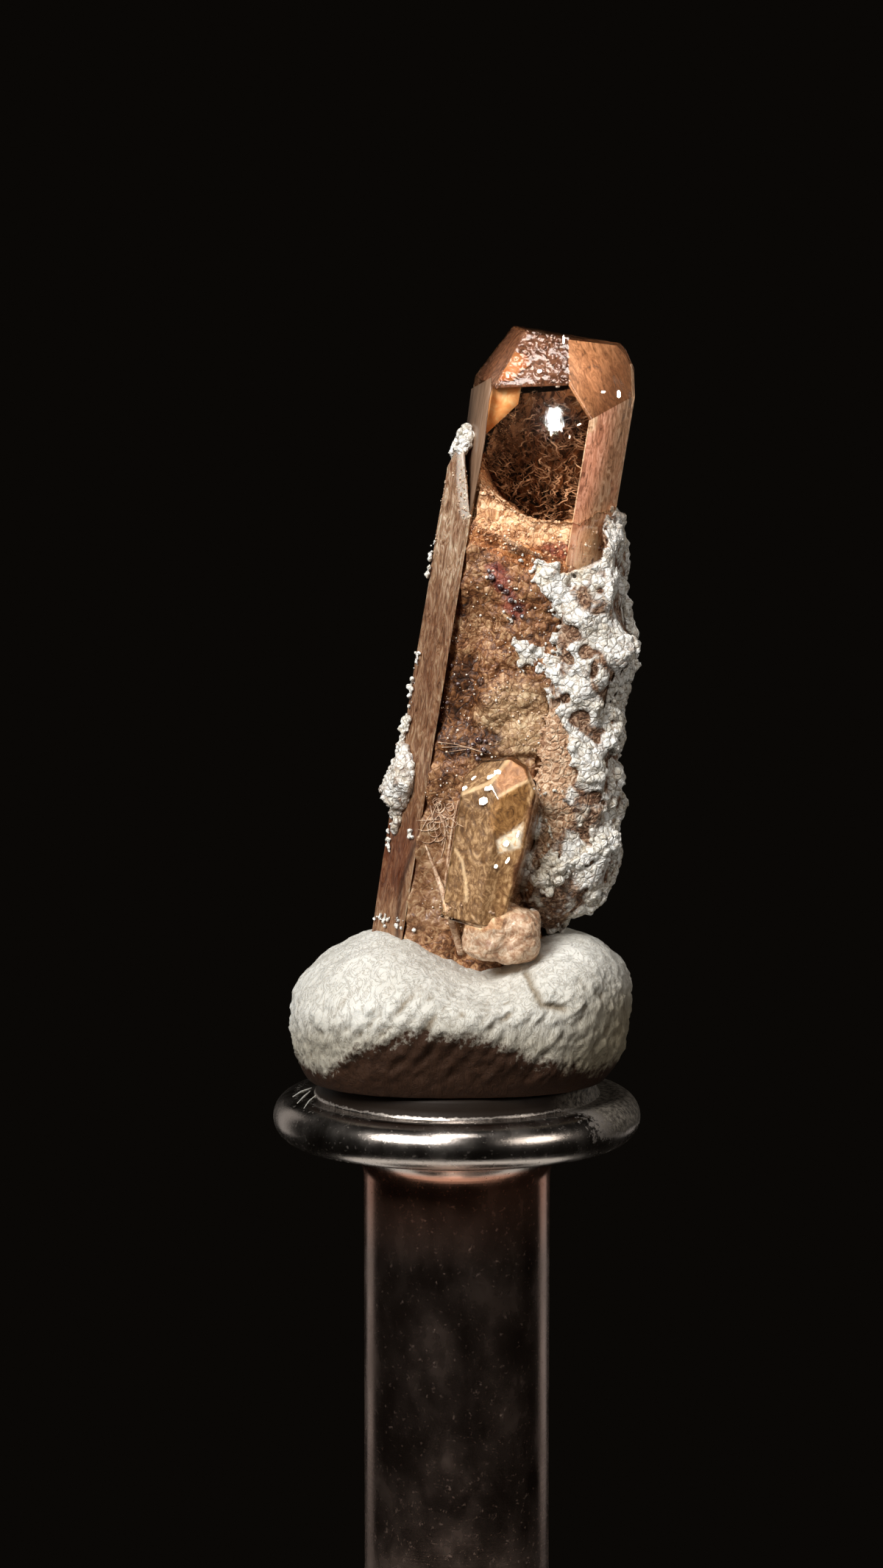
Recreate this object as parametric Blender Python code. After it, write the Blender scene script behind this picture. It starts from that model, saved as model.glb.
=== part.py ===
"""Topaz crystal with rhyolite matrix, pressed into a ball of putty on a turned metal stand.

The stand's foot rests on z = 0 and its axis is x = y = 0. The crystals grew parallel to one another and lean to +X.
Each flat-faced crystal is a list of faces: the way a face turns round the crystal, how far its normal leans from the
crystal's length, and its distance from a point on the crystal's middle line. Driving dimensions are in millimetres.
"""

import math

import bmesh
import bpy
from mathutils import Matrix, Vector, noise

MM = 0.001

# Growth direction that the crystals share, and the middle of the main crystal near its top
LEAN = math.radians(9.2)
MAIN_POINT = Vector((2.38, 0.6, 36.0))
BASE_Z = 21.4
CLEARANCE = 0.05

# Turn in degrees (0 faces -Y, 90 faces +X), lean in degrees (90 is a side face), distance
MAIN_SIDES = (
    (0, 90, 1.75),
    (59, 90, 1.82),
    (104.2, 90, 2.08),
    (180, 90, 1.75),
    (239, 90, 2.30),
    (280.5, 90, 1.99),
)
MAIN_ENDS = (
    (-8, 55, 2.50),
    (47, 58.4, 2.18),
    (-78, 62.2, 2.57),
    (100, 60, 2.98),
    (172, 55, 2.50),
    (215, 73.5, 2.289),
    (0, 0, 3.23),
    (-70, 163, 3.15),
)

SIDE_POINT = Vector((-0.05, 0.5, 32.0))
SIDE_FACES = (
    (-58.7, 90, 0.84),
    (27, 90, 1.54),
    (104, 90, 1.10),
    (180, 90, 1.10),
    (245, 90, 0.60),
    (27, 60, 2.45),
    (-80, 62, 2.37),
    (90, 75.8, 0.589),
    (180, 180, 10.6),
)

FRONT_POINT = Vector((1.05, -2.0, 26.0))
FRONT_FACES = (
    (-38, 90, 0.85),
    (22, 90, 0.88),
    (78, 92, 0.87),
    (180, 90, 1.40),
    (-95, 90, 1.08),
    (-62, 52, 1.34),
    (-6, 62, 1.30),
    (145, 50, 1.12),
    (-130, 55, 1.60),
    (80, 62, 1.40),
    (70, 104, 0.86),
    (180, 180, 3.0),
)

# Sugary etched body under the main crystal: rings along the growth direction
BODY_RINGS = 26
BODY_SEGMENTS = 34
BODY_TOP = -2.0
BODY_TOP_TAPER = 1.3
BODY_TOP_INSIDE = 0.22
BODY_BUMP = 0.17
BODY_GRAIN = 0.85

# Overhanging ledge on its front: reach, sharp lower edge, height where it fades out, and its left end
LEDGE_OUT = 0.30
LEDGE_FROM = 27.95
LEDGE_EDGE = 0.15
LEDGE_FULL = 0.8
LEDGE_TO = 30.2
LEDGE_LEFT_X = 0.2
LEDGE_RIGHT_X = 0.9

# Recess left of the ledge: depth, heights, way it faces and width, both in degrees
RECESS_IN = 0.42
RECESS_LOW = (28.3, 29.2)
RECESS_HIGH = (31.6, 32.6)
RECESS_TURN = 322.0
RECESS_WIDTH = 13.0

# Broken foot of the small front crystal
STUMP_CENTRE = Vector((1.19, -1.78, 23.16))
STUMP_HALF = Vector((1.00, 0.95, 0.74))
STUMP_BUMP = 0.16
STUMP_GRAIN = 0.7
STUMP_SQUARENESS = 4.0

# Crust of matrix: middle line, end heights and outer reach by direction
CRUST_POINT = Vector((2.95, 0.85, 29.0))
CRUST_TOP_Z = 34.45
CRUST_BOTTOM_Z = 22.75
CRUST_RINGS = 38
CRUST_SEGMENTS = 34
CRUST_SQUARENESS = 3.2
CRUST_FRONT = 2.42
CRUST_RIGHT = 1.62
CRUST_FLARE = 0.72
CRUST_BACK = 2.55
CRUST_INNER = 0.95
CRUST_BUMP = 0.34
CRUST_GRAIN = 0.95

# How the crust's ends round off, and where and how much it slims toward them
CRUST_END_POWER = 5
CRUST_END_LEAST = 0.04
CRUST_UPPER_Z = 31.0
CRUST_UPPER_SLIM = 0.35
CRUST_LOWER_Z = 24.4
CRUST_LOWER_SLIM = 0.7
CRUST_FLARE_FROM = 23.0
CRUST_FLARE_TO = 30.0

# Small patches of matrix, each a lump: centre and half sizes
LEFT_PATCH = ((-1.53, 0.15, 27.05), (0.50, 0.95, 1.00))
LEFT_PATCH_LOW = ((-1.62, 0.40, 26.05), (0.28, 0.80, 0.85))
TIP_PATCH = ((0.04, 0.50, 35.87), (0.31, 0.66, 0.80))
PATCH_BUMP = 0.30
PATCH_GRAIN = 0.8
TIP_BUMP = 0.16
TIP_GRAIN = 0.6

# Putty: a squat ball with two lobes and a saddle that the crystal sits in
PUTTY_CENTRE = Vector((0.12, 0.0, 21.06))
PUTTY_HALF = Vector((4.62, 4.30, 2.02))
PUTTY_UNDER = 3.2
PUTTY_SAG = 0.055
PUTTY_SAG_REACH = 4.6
PUTTY_RINGS = 22
PUTTY_SEGMENTS = 44
PUTTY_SQUARENESS = 2.5
PUTTY_BUMP = 0.13
PUTTY_GRAIN = 1.6
PUTTY_BUMP_FROM = 0.1
PUTTY_BUMP_FULL = 0.9
PUTTY_SEAT = 0.03
PUTTY_CALM_RISE = 0.5
LOBE_LEFT_X = -2.75
LOBE_LEFT_WIDTH = 1.9
LOBE_RIGHT_X = 3.15
LOBE_RIGHT_WIDTH = 1.5
LOBE_RISE = 0.10
LOBE_SLOPE = 0.035
SADDLE_X = 0.75
SADDLE_WIDTH = 1.6
SADDLE_DEPTH = 1.05
SADDLE_FULL = 0.9
SOCKET_GAP = 0.08

# Stand, turned: radii and heights
FOOT_RADIUS = 7.5
FOOT_HEIGHT = 1.3
FOOT_ROUND = 0.35
SHAFT_RADIUS = 2.55
SHAFT_TOP_Z = 15.85
COVE_RADIUS = 0.9
NECK_RADIUS = 3.05
NECK_SHARE = 0.55
NECK_RISE = 0.25
BEAD_Z = 17.81
BEAD_RADIUS = 0.63
FLANGE_RADIUS = 5.03
COLLAR_RADIUS = 3.82
COLLAR_FLARE = 0.10
COLLAR_FLARE_RISE = 0.62
COLLAR_RISE = 0.78
COLLAR_WEAR = 0.12
STAND_TOP_Z = 18.98
STAND_SEGMENTS = 44


def clear_scene():
    for old in list(bpy.data.objects):
        bpy.data.objects.remove(old, do_unlink=True)


def principled(name, colour, roughness, metallic=0.0, transmission=0.0, ior=1.5):
    material = bpy.data.materials.new(name)
    material.use_nodes = True
    shader = material.node_tree.nodes["Principled BSDF"]
    shader.inputs["Base Color"].default_value = (*colour, 1.0)
    shader.inputs["Roughness"].default_value = roughness
    shader.inputs["Metallic"].default_value = metallic
    shader.inputs["Transmission Weight"].default_value = transmission
    shader.inputs["IOR"].default_value = ior
    return material


def add_object(name, bm, material=None, helper=False):
    """Turns a bmesh in millimetres into an object in metres. A helper is a Boolean's operand and isn't a part."""
    bmesh.ops.recalc_face_normals(bm, faces=bm.faces)
    mesh = bpy.data.meshes.new(name)
    bm.to_mesh(mesh)
    bm.free()
    mesh.transform(Matrix.Scale(MM, 4))
    obj = bpy.data.objects.new(name, mesh)
    bpy.context.scene.collection.objects.link(obj)
    if material:
        mesh.materials.append(material)
    if helper:
        obj.hide_render = True
        obj.display_type = "WIRE"
    return obj


def boolean(obj, other, operation):
    modifier = obj.modifiers.new(operation.title() + " " + other.name, "BOOLEAN")
    modifier.operation = operation
    modifier.solver = "EXACT"
    modifier.object = other


def axes_of_growth():
    """Right, away and up for a crystal that leans to +X."""
    right = Vector((math.cos(LEAN), 0.0, -math.sin(LEAN)))
    up = Vector((math.sin(LEAN), 0.0, math.cos(LEAN)))
    return right, Vector((0.0, 1.0, 0.0)), up


def along_growth(point, height):
    """The point where the growth line through a point reaches a height."""
    return point + Vector((math.tan(LEAN) * (height - point.z), 0.0, height - point.z))


def face_normal(turn, lean):
    turn, lean = math.radians(turn), math.radians(lean)
    right, away, up = axes_of_growth()
    side = math.sin(turn) * right - math.cos(turn) * away
    return math.sin(lean) * side + math.cos(lean) * up


def crystal(point, faces, grow=0.0):
    """A block cut by each face in turn, as a bmesh. grow moves every face out."""
    bm = bmesh.new()
    bmesh.ops.create_cube(bm, size=60.0, matrix=Matrix.Translation(point))
    for turn, lean, distance in faces:
        normal = face_normal(turn, lean)
        cut = bmesh.ops.bisect_plane(
            bm,
            geom=bm.verts[:] + bm.edges[:] + bm.faces[:],
            dist=1e-5,
            plane_co=point + normal * (distance + grow),
            plane_no=normal,
            clear_outer=True,
        )
        edges = [e for e in cut["geom_cut"] if isinstance(e, bmesh.types.BMEdge)]
        bmesh.ops.contextual_create(bm, geom=edges)
    return bm


def lumps(place, grain, octaves=3):
    """Smooth noise from about -1 to 1 at a place, with lumps about one grain across."""
    return noise.fractal(place / grain, 0.9, 2.1, octaves)


def step(value, low, high):
    """0 below low, 1 above high and smooth between."""
    share = min(max((value - low) / (high - low), 0.0), 1.0)
    return share * share * (3.0 - 2.0 * share)


def side_reach(turn):
    """How far the main crystal's outline reaches from its middle line, in one direction round it."""
    reach = [
        distance / math.cos(turn - math.radians(face))
        for face, lean, distance in MAIN_SIDES
        if math.cos(turn - math.radians(face)) > 0.2
    ]
    return min(reach)


def rings_solid(ring_points, segments):
    """Closes rings of points into a solid, with a middle point at each end."""
    bm = bmesh.new()
    rings = [[bm.verts.new(p) for p in ring] for ring in ring_points]
    for low, high in zip(rings, rings[1:]):
        for i in range(segments):
            j = (i + 1) % segments
            bm.faces.new((low[i], low[j], high[j], high[i]))
    for ring in (rings[0], rings[-1]):
        middle = bm.verts.new(sum((v.co for v in ring), Vector()) / segments)
        for i in range(segments):
            bm.faces.new((ring[i], ring[(i + 1) % segments], middle))
    return bm


def etched_body(grow=0.0):
    """The frosted lower body: the main crystal's outline with sugary bumps, a ledge and a recess in front."""
    right, away, up = axes_of_growth()
    ring_points = []
    top_z = MAIN_POINT.z + BODY_TOP
    for k in range(BODY_RINGS):
        height = BASE_Z + (top_z - BASE_Z) * k / (BODY_RINGS - 1)
        middle = along_growth(MAIN_POINT, height)
        inside = BODY_TOP_INSIDE * step(height, top_z - BODY_TOP_TAPER, top_z)
        ring = []
        for i in range(BODY_SEGMENTS):
            turn = 2.0 * math.pi * i / BODY_SEGMENTS
            direction = math.sin(turn) * right - math.cos(turn) * away
            reach = side_reach(turn)
            place = middle + direction * reach
            bump = BODY_BUMP * lumps(place, BODY_GRAIN)
            facing = max(math.cos(turn), 0.0)
            ledge = step(height, LEDGE_FROM - LEDGE_EDGE, LEDGE_FROM)
            ledge *= 1.0 - step(height, LEDGE_FROM + LEDGE_FULL, LEDGE_TO)
            ledge *= step(place.x, LEDGE_LEFT_X, LEDGE_RIGHT_X) * facing
            recess = step(height, *RECESS_LOW) * (1.0 - step(height, *RECESS_HIGH))
            recess *= math.exp(-(((math.degrees(turn) - RECESS_TURN) / RECESS_WIDTH) ** 2))
            reach += bump + LEDGE_OUT * ledge - RECESS_IN * recess - inside + grow
            ring.append(middle + direction * reach)
        ring_points.append(ring)
    return rings_solid(ring_points, BODY_SEGMENTS)


def lump(centre, half, bump, grain, grow=0.0, subdivisions=3, squareness=2.0):
    """A rough pebble shape that leans with the crystals. A squareness over 2 makes it a block with worn edges."""
    bm = bmesh.new()
    bmesh.ops.create_icosphere(bm, subdivisions=subdivisions, radius=1.0)
    right, away, up = axes_of_growth()
    centre = Vector(centre)
    for vert in bm.verts:
        rim = sum(abs(c) ** squareness for c in vert.co) ** (-1.0 / squareness)
        unit = vert.co * rim
        place = centre + right * unit.x * half[0] + away * unit.y * half[1] + up * unit.z * half[2]
        outward = (right * unit.x + away * unit.y + up * unit.z).normalized()
        vert.co = place + outward * (bump * lumps(place, grain) + grow)
    return bm


def matrix_crust():
    """The crust down the right and rear side. It goes into the crystal's space, which a Boolean then clears."""
    right, away, up = axes_of_growth()
    ring_points = []
    for k in range(CRUST_RINGS):
        share = k / (CRUST_RINGS - 1)
        height = CRUST_BOTTOM_Z + (CRUST_TOP_Z - CRUST_BOTTOM_Z) * share
        middle = along_growth(CRUST_POINT, height)
        ends = math.sqrt(max(1.0 - abs(2.0 * share - 1.0) ** CRUST_END_POWER, CRUST_END_LEAST))
        upper = CRUST_UPPER_SLIM * step(height, CRUST_UPPER_Z, CRUST_TOP_Z)
        lower = CRUST_LOWER_SLIM * (1.0 - step(height, CRUST_BOTTOM_Z, CRUST_LOWER_Z))
        flare = 1.0 - step(height, CRUST_FLARE_FROM, CRUST_FLARE_TO)
        ring = []
        for i in range(CRUST_SEGMENTS):
            turn = 2.0 * math.pi * i / CRUST_SEGMENTS
            direction = math.sin(turn) * right - math.cos(turn) * away
            front, side = math.cos(turn), math.sin(turn)
            along = CRUST_FRONT if front > 0 else CRUST_BACK
            across = CRUST_RIGHT + CRUST_FLARE * flare if side > 0 else CRUST_INNER
            power = CRUST_SQUARENESS
            reach = (abs(front / along) ** power + abs(side / across) ** power) ** (-1.0 / power)
            reach -= upper * max(front, 0.0) + lower * max(side, 0.0)
            place = middle + direction * reach
            reach += CRUST_BUMP * lumps(place, CRUST_GRAIN, 4)
            ring.append(middle + direction * reach * ends)
        ring_points.append(ring)
    return rings_solid(ring_points, CRUST_SEGMENTS)


def putty_ball():
    bm = bmesh.new()
    bmesh.ops.create_uvsphere(bm, u_segments=PUTTY_SEGMENTS, v_segments=PUTTY_RINGS, radius=1.0)
    power = 2.0 / PUTTY_SQUARENESS
    for vert in bm.verts:
        unit = vert.co
        squared = [math.copysign(abs(c) ** power, c) for c in (unit.x, unit.y, unit.z)]
        place = PUTTY_CENTRE + Vector(c * h for c, h in zip(squared, PUTTY_HALF))
        if unit.z < 0:
            place.z = PUTTY_CENTRE.z + squared[2] * PUTTY_UNDER
        sag = PUTTY_SAG * (PUTTY_SAG_REACH - place.x + PUTTY_CENTRE.x)
        place.z -= sag * (1.0 - unit.z * unit.z)
        upper = step(unit.z, 0.0, SADDLE_FULL)
        saddle = math.exp(-(((place.x - SADDLE_X) / SADDLE_WIDTH) ** 2))
        lobe = math.exp(-(((place.x - LOBE_RIGHT_X) / LOBE_RIGHT_WIDTH) ** 2))
        lobe += math.exp(-(((place.x - LOBE_LEFT_X) / LOBE_LEFT_WIDTH) ** 2))
        place.z += upper * (LOBE_SLOPE * (place.x - PUTTY_CENTRE.x) + LOBE_RISE * lobe - SADDLE_DEPTH * saddle)
        outward = Vector((unit.x, unit.y, PUTTY_CALM_RISE * unit.z)).normalized()
        above = step(place.z, STAND_TOP_Z + PUTTY_BUMP_FROM, STAND_TOP_Z + PUTTY_BUMP_FULL)
        place += outward * PUTTY_BUMP * lumps(place, PUTTY_GRAIN) * above
        place.z = max(place.z, STAND_TOP_Z + PUTTY_SEAT)
        vert.co = place
    return bm


def arc(centre_r, centre_z, radius, start, end, count):
    """Points of a profile's round stretch, in (radius, height), from start to end degrees."""
    angles = [math.radians(start + (end - start) * i / (count - 1)) for i in range(count)]
    return [(centre_r + radius * math.cos(a), centre_z + radius * math.sin(a)) for a in angles]


def stand_profile():
    """Up the stand from the middle of its underside to the middle of its top."""
    foot_edge = FOOT_RADIUS - FOOT_ROUND
    bead_middle = FLANGE_RADIUS - BEAD_RADIUS
    profile = [(foot_edge, 0.0)]
    profile += arc(foot_edge, FOOT_ROUND, FOOT_ROUND, -45, 0, 2)
    profile += arc(foot_edge, FOOT_HEIGHT - FOOT_ROUND, FOOT_ROUND, 0, 90, 3)
    cove = COVE_RADIUS
    profile += arc(SHAFT_RADIUS + cove, FOOT_HEIGHT + cove, cove, 270, 180, 4)
    neck_middle = NECK_RADIUS + cove * NECK_SHARE
    profile += arc(neck_middle, SHAFT_TOP_Z + NECK_RISE, neck_middle - SHAFT_RADIUS, 180, 125, 5)
    profile += arc(bead_middle, BEAD_Z, BEAD_RADIUS, -80, 110, 9)
    profile += [(COLLAR_RADIUS + COLLAR_FLARE, BEAD_Z + COLLAR_FLARE_RISE), (COLLAR_RADIUS, BEAD_Z + COLLAR_RISE)]
    profile += [(COLLAR_RADIUS, STAND_TOP_Z - COLLAR_WEAR), (COLLAR_RADIUS - COLLAR_WEAR, STAND_TOP_Z)]
    return profile


def turned(profile, segments):
    ring_points = []
    for radius, height in profile:
        angles = [2.0 * math.pi * i / segments for i in range(segments)]
        ring_points.append([Vector((radius * math.cos(a), radius * math.sin(a), height)) for a in angles])
    return rings_solid(ring_points, segments)


def grown_crystals(name, material, grow=0.0, helper=False):
    """All the topaz as one solid."""
    main = add_object(name, crystal(MAIN_POINT, MAIN_SIDES + MAIN_ENDS, grow), material, helper)
    others = (
        ("side crystal", crystal(SIDE_POINT, SIDE_FACES, grow)),
        ("etched body", etched_body(grow)),
        ("front crystal", crystal(FRONT_POINT, FRONT_FACES, grow)),
        ("front stump", lump(STUMP_CENTRE, STUMP_HALF, STUMP_BUMP, STUMP_GRAIN, grow, squareness=STUMP_SQUARENESS)),
    )
    for label, bm in others:
        boolean(main, add_object(name + " " + label, bm, helper=True), "UNION")
    return main


def keep_largest(obj):
    """Applies the modifiers and drops crumbs that the Boolean parted from the main piece."""
    graph = bpy.context.evaluated_depsgraph_get()
    mesh = bpy.data.meshes.new_from_object(obj.evaluated_get(graph))
    obj.modifiers.clear()
    obj.data = mesh
    bm = bmesh.new()
    bm.from_mesh(mesh)
    left, pieces = set(bm.verts), []
    while left:
        piece, edge = set(), [left.pop()]
        while edge:
            vert = edge.pop()
            piece.add(vert)
            near = {e.other_vert(vert) for e in vert.link_edges} & left
            left -= near
            edge.extend(near)
        pieces.append(piece)
    pieces.sort(key=len)
    for piece in pieces[:-1]:
        bmesh.ops.delete(bm, geom=list(piece), context="VERTS")
    bm.to_mesh(mesh)
    bm.free()


def main():
    clear_scene()
    topaz = principled("Topaz", (0.80, 0.42, 0.20), 0.05, transmission=0.9, ior=1.62)
    rock = principled("White rhyolite", (0.78, 0.74, 0.68), 0.9)
    putty = principled("White putty", (0.85, 0.82, 0.74), 0.7)
    steel = principled("Polished steel", (0.62, 0.60, 0.58), 0.15, metallic=1.0)

    grown_crystals("topaz_crystal", topaz)
    space = grown_crystals("crystal_space", None, CLEARANCE, helper=True)

    crust = add_object("matrix_right", matrix_crust(), rock)
    left = add_object("matrix_left", lump(*LEFT_PATCH, PATCH_BUMP, PATCH_GRAIN), rock)
    left_low = add_object("left patch low", lump(*LEFT_PATCH_LOW, PATCH_BUMP, PATCH_GRAIN), helper=True)
    boolean(left, left_low, "UNION")
    tip = add_object("matrix_tip", lump(*TIP_PATCH, TIP_BUMP, TIP_GRAIN, subdivisions=2), rock)
    ball = add_object("mounting_putty", putty_ball(), putty)
    socket = grown_crystals("socket", None, SOCKET_GAP, helper=True)
    boolean(ball, socket, "DIFFERENCE")
    for piece in (crust, left, tip):
        boolean(piece, space, "DIFFERENCE")
        keep_largest(piece)
    keep_largest(ball)

    stand = add_object("stand", turned(stand_profile(), STAND_SEGMENTS), steel)
    stand.data.shade_smooth()
    stand.data.set_sharp_from_angle(angle=math.radians(35))


main()
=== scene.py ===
"""Looks of the topaz crystal on its mounting post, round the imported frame. Shapes are in millimetres."""

import math

import bmesh
import bpy
import numpy as np
from mathutils import Matrix, Vector, noise
from mathutils.bvhtree import BVHTree


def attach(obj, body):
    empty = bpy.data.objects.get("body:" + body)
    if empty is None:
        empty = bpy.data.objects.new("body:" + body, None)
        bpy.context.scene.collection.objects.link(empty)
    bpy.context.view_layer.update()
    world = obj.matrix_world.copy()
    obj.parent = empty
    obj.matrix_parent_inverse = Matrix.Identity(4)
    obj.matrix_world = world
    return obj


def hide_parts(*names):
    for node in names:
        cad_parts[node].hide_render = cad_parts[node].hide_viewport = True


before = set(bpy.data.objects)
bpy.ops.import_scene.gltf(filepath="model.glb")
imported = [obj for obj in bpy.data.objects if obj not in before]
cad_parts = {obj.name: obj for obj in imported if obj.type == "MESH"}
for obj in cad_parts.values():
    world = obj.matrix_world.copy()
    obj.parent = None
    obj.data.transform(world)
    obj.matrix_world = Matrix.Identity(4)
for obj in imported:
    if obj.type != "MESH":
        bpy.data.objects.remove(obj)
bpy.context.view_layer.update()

MM = 0.001
RANDOM = np.random.default_rng(11)

# Growth direction that the crystals share
LEAN = math.radians(9.2)
RIGHT = np.array((math.cos(LEAN), 0.0, -math.sin(LEAN)))
AWAY = np.array((0.0, 1.0, 0.0))
UP = np.array((math.sin(LEAN), 0.0, math.cos(LEAN)))

# Width of a photograph pixel at the crystal, in millimetres
PX = 0.0197

# Camera: the photograph's focal length and middle in its pixels, distance, height angle and aim
PHOTO_HIGH = 2132
FOCAL_PX = 6500.0
PHOTO_MIDDLE = np.array((600.0, 1066.0))
CAMERA_FAR = 130.0
CAMERA_UP = math.radians(7.5)
AIM = np.array((-0.42, 0.0, 26.95))
CAMERA_AT = AIM + CAMERA_FAR * np.array((0.0, -math.cos(CAMERA_UP), math.sin(CAMERA_UP)))
KEY_PLACE = (-70, -105, 125)

# Main crystal: turn in degrees (0 faces -Y), lean (90 is a side face), distance from its point
MAIN_POINT = np.array((2.38, 0.6, 36.0))
MAIN_SIDES = (
    (0, 90, 1.75), (59, 90, 1.82), (104.2, 90, 2.13), (180, 90, 1.75), (239, 90, 2.3), (280.5, 90, 1.99),
)
MAIN_TOPS = (
    (-8, 55, 2.5), (47, 58.4, 2.25), (-78, 62.2, 2.5), (100, 60, 3.1), (172, 55, 2.5), (215, 73.5, 2.289),
    (0, 0, 3.14),
)
MAIN_CUT = ((-70, 163, 3.15),)

SIDE_POINT = np.array((-0.05, 0.5, 32.0))
SIDE_FACES = (
    (-58.7, 90, 0.84), (27, 90, 1.54), (100.5, 90, -0.263), (180, 90, 1.1), (245, 90, 0.6), (27, 60, 2.45),
    (-80, 62, 2.37), (90, 75.8, 0.589), (180, 180, 10.6),
)

FRONT_POINT = np.array((1.05, -2.0, 26.0))
FRONT_FACES = (
    (-38, 90, 0.85), (22, 90, 0.88), (78, 92, 0.93), (180, 90, 1.4), (-95, 90, 1.08), (-62, 52, 1.34),
    (-6, 62, 1.3), (145, 50, 1.12), (-130, 55, 1.6), (80, 62, 1.4), (80, 97, 0.95), (180, 180, 2.58),
)


# Geometry helpers

FORWARD = np.array((0.0, math.cos(CAMERA_UP), -math.sin(CAMERA_UP)))
ABOVE = np.array((0.0, math.sin(CAMERA_UP), math.cos(CAMERA_UP)))


def pixel(points):
    """Where points in millimetres show in the photograph, in its pixels."""
    off = np.asarray(points) - CAMERA_AT
    deep = off @ FORWARD
    across, high = off[..., 0] / deep, (off @ ABOVE) / deep
    return np.stack((PHOTO_MIDDLE[0] + FOCAL_PX * across, PHOTO_MIDDLE[1] - FOCAL_PX * high), -1)


def sight(x, y):
    """The camera's line of sight through a pixel of the photograph."""
    line = FORWARD + np.array((1.0, 0.0, 0.0)) * (x - PHOTO_MIDDLE[0]) / FOCAL_PX
    line = line - ABOVE * (y - PHOTO_MIDDLE[1]) / FOCAL_PX
    return line / np.linalg.norm(line)


def seen_at(x, y, depth):
    """The point of a pixel's line of sight on the plane Y = depth."""
    line = sight(x, y)
    return CAMERA_AT + line * (depth - CAMERA_AT[1]) / line[1]


def seen_on(tree, x, y):
    """The first point of a surface on a pixel's line of sight and its outward direction, or None twice."""
    place, normal, _, _ = tree.ray_cast(Vector(CAMERA_AT), Vector(sight(x, y)))
    if place is None:
        return None, None
    return np.array(place), np.array(normal)


def first_seen(x, y, trees):
    """The nearest point of some surfaces at a photograph pixel and its outward direction, or None twice."""
    found = [seen_on(tree, x, y) for tree in trees]
    found = [pair for pair in found if pair[0] is not None]
    if not found:
        return None, None
    return min(found, key=lambda pair: np.linalg.norm(pair[0] - CAMERA_AT))


def step(value, low, high):
    share = np.clip((value - low) / (high - low), 0.0, 1.0)
    return share * share * (3.0 - 2.0 * share)


def lumps(points, grain, octaves=3):
    """Smooth noise from about -1 to 1 at each point, with lumps about one grain across."""
    return np.array([noise.fractal(Vector(p), 0.9, 2.1, octaves) for p in np.asarray(points) / grain])


def cells(points, size):
    """Distance to the nearest and second nearest of scattered points, in cell sizes, and a number each."""
    near, second, own = [], [], []
    for p in np.asarray(points) / size:
        distances, places = noise.voronoi(Vector(p))
        near.append(distances[0])
        second.append(distances[1])
        own.append(noise.cell(places[0] * 7.3))
    return np.array(near), np.array(second), np.array(own)


def normals_of(points, faces):
    """Outward unit vectors at the points of a mesh."""
    faces = np.asarray(faces)
    total = np.zeros_like(points)
    start = points[faces[:, 0]]
    flat = np.cross(points[faces[:, 1]] - start, points[faces[:, -1]] - start)
    for k in range(faces.shape[1]):
        for axis in range(3):
            total[:, axis] += np.bincount(faces[:, k], flat[:, axis], len(points))
    return total / np.maximum(np.linalg.norm(total, axis=1, keepdims=True), 1e-12)


def near_line(points, line):
    """Distance in pixels from each photograph point to a bent line."""
    best = np.full(len(points), 1e9)
    line = np.asarray(line, float)
    for a, b in zip(line, line[1:]):
        along = np.clip(((points - a) @ (b - a)) / max((b - a) @ (b - a), 1e-9), 0, 1)
        best = np.minimum(best, np.linalg.norm(points - a - along[:, None] * (b - a), axis=1))
    return best


def in_ellipse(points, middle, half):
    """0 at the middle of an ellipse in the photograph and 1 on its edge."""
    return np.linalg.norm((points - np.asarray(middle)) / np.asarray(half), axis=1)


def spot(points, middle, half, full, none):
    """1 in the middle of an ellipse of the photograph, out to the share full, and 0 from the share none."""
    return 1 - step(in_ellipse(points, middle, half), full, none)


def stroke(points, line, full, none):
    """1 within full pixels of a bent line of the photograph and 0 from none pixels."""
    return 1 - step(near_line(points, line), full, none)


def within(points, corners, soft):
    """1 inside a polygon of the photograph, 0 outside and smooth across its edge."""
    corners = np.asarray(corners, float)
    inside = np.zeros(len(points), bool)
    for a, b in zip(corners, np.roll(corners, -1, axis=0)):
        spans = (a[1] > points[:, 1]) != (b[1] > points[:, 1])
        rise = b[1] - a[1] if b[1] != a[1] else 1.0
        inside ^= spans & (points[:, 0] < a[0] + (b[0] - a[0]) * (points[:, 1] - a[1]) / rise)
    away = near_line(points, np.concatenate((corners, corners[:1])))
    return step(np.where(inside, away, -away), -soft, soft)


def on_plane(x, y, point, normal):
    """The point of a pixel's line of sight on a plane."""
    line = sight(x, y)
    return CAMERA_AT + line * ((point - CAMERA_AT) @ normal) / (line @ normal)


def add_mesh(name, points, faces, material, masks=None, sharp=None):
    mesh = bpy.data.meshes.new(name)
    faces = faces if isinstance(faces, list) else faces.tolist()
    mesh.from_pydata((np.asarray(points) * MM).tolist(), [], faces)
    for key, values in (masks or {}).items():
        layer = mesh.attributes.new(key, "FLOAT", "POINT")
        layer.data.foreach_set("value", np.ascontiguousarray(values, np.float32))
    return add_object(name, mesh, material, sharp)


def add_object(name, mesh, material, sharp=None):
    mesh.validate()
    mesh.update()
    mesh.materials.clear()
    mesh.materials.append(material)
    mesh.shade_smooth()
    if sharp:
        mesh.set_sharp_from_angle(angle=math.radians(sharp))
    made = bpy.data.objects.new(name, mesh)
    bpy.context.scene.collection.objects.link(made)
    return made


def tree_of(points, faces):
    return BVHTree.FromPolygons([Vector(p) for p in points], [list(f) for f in faces])


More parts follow.
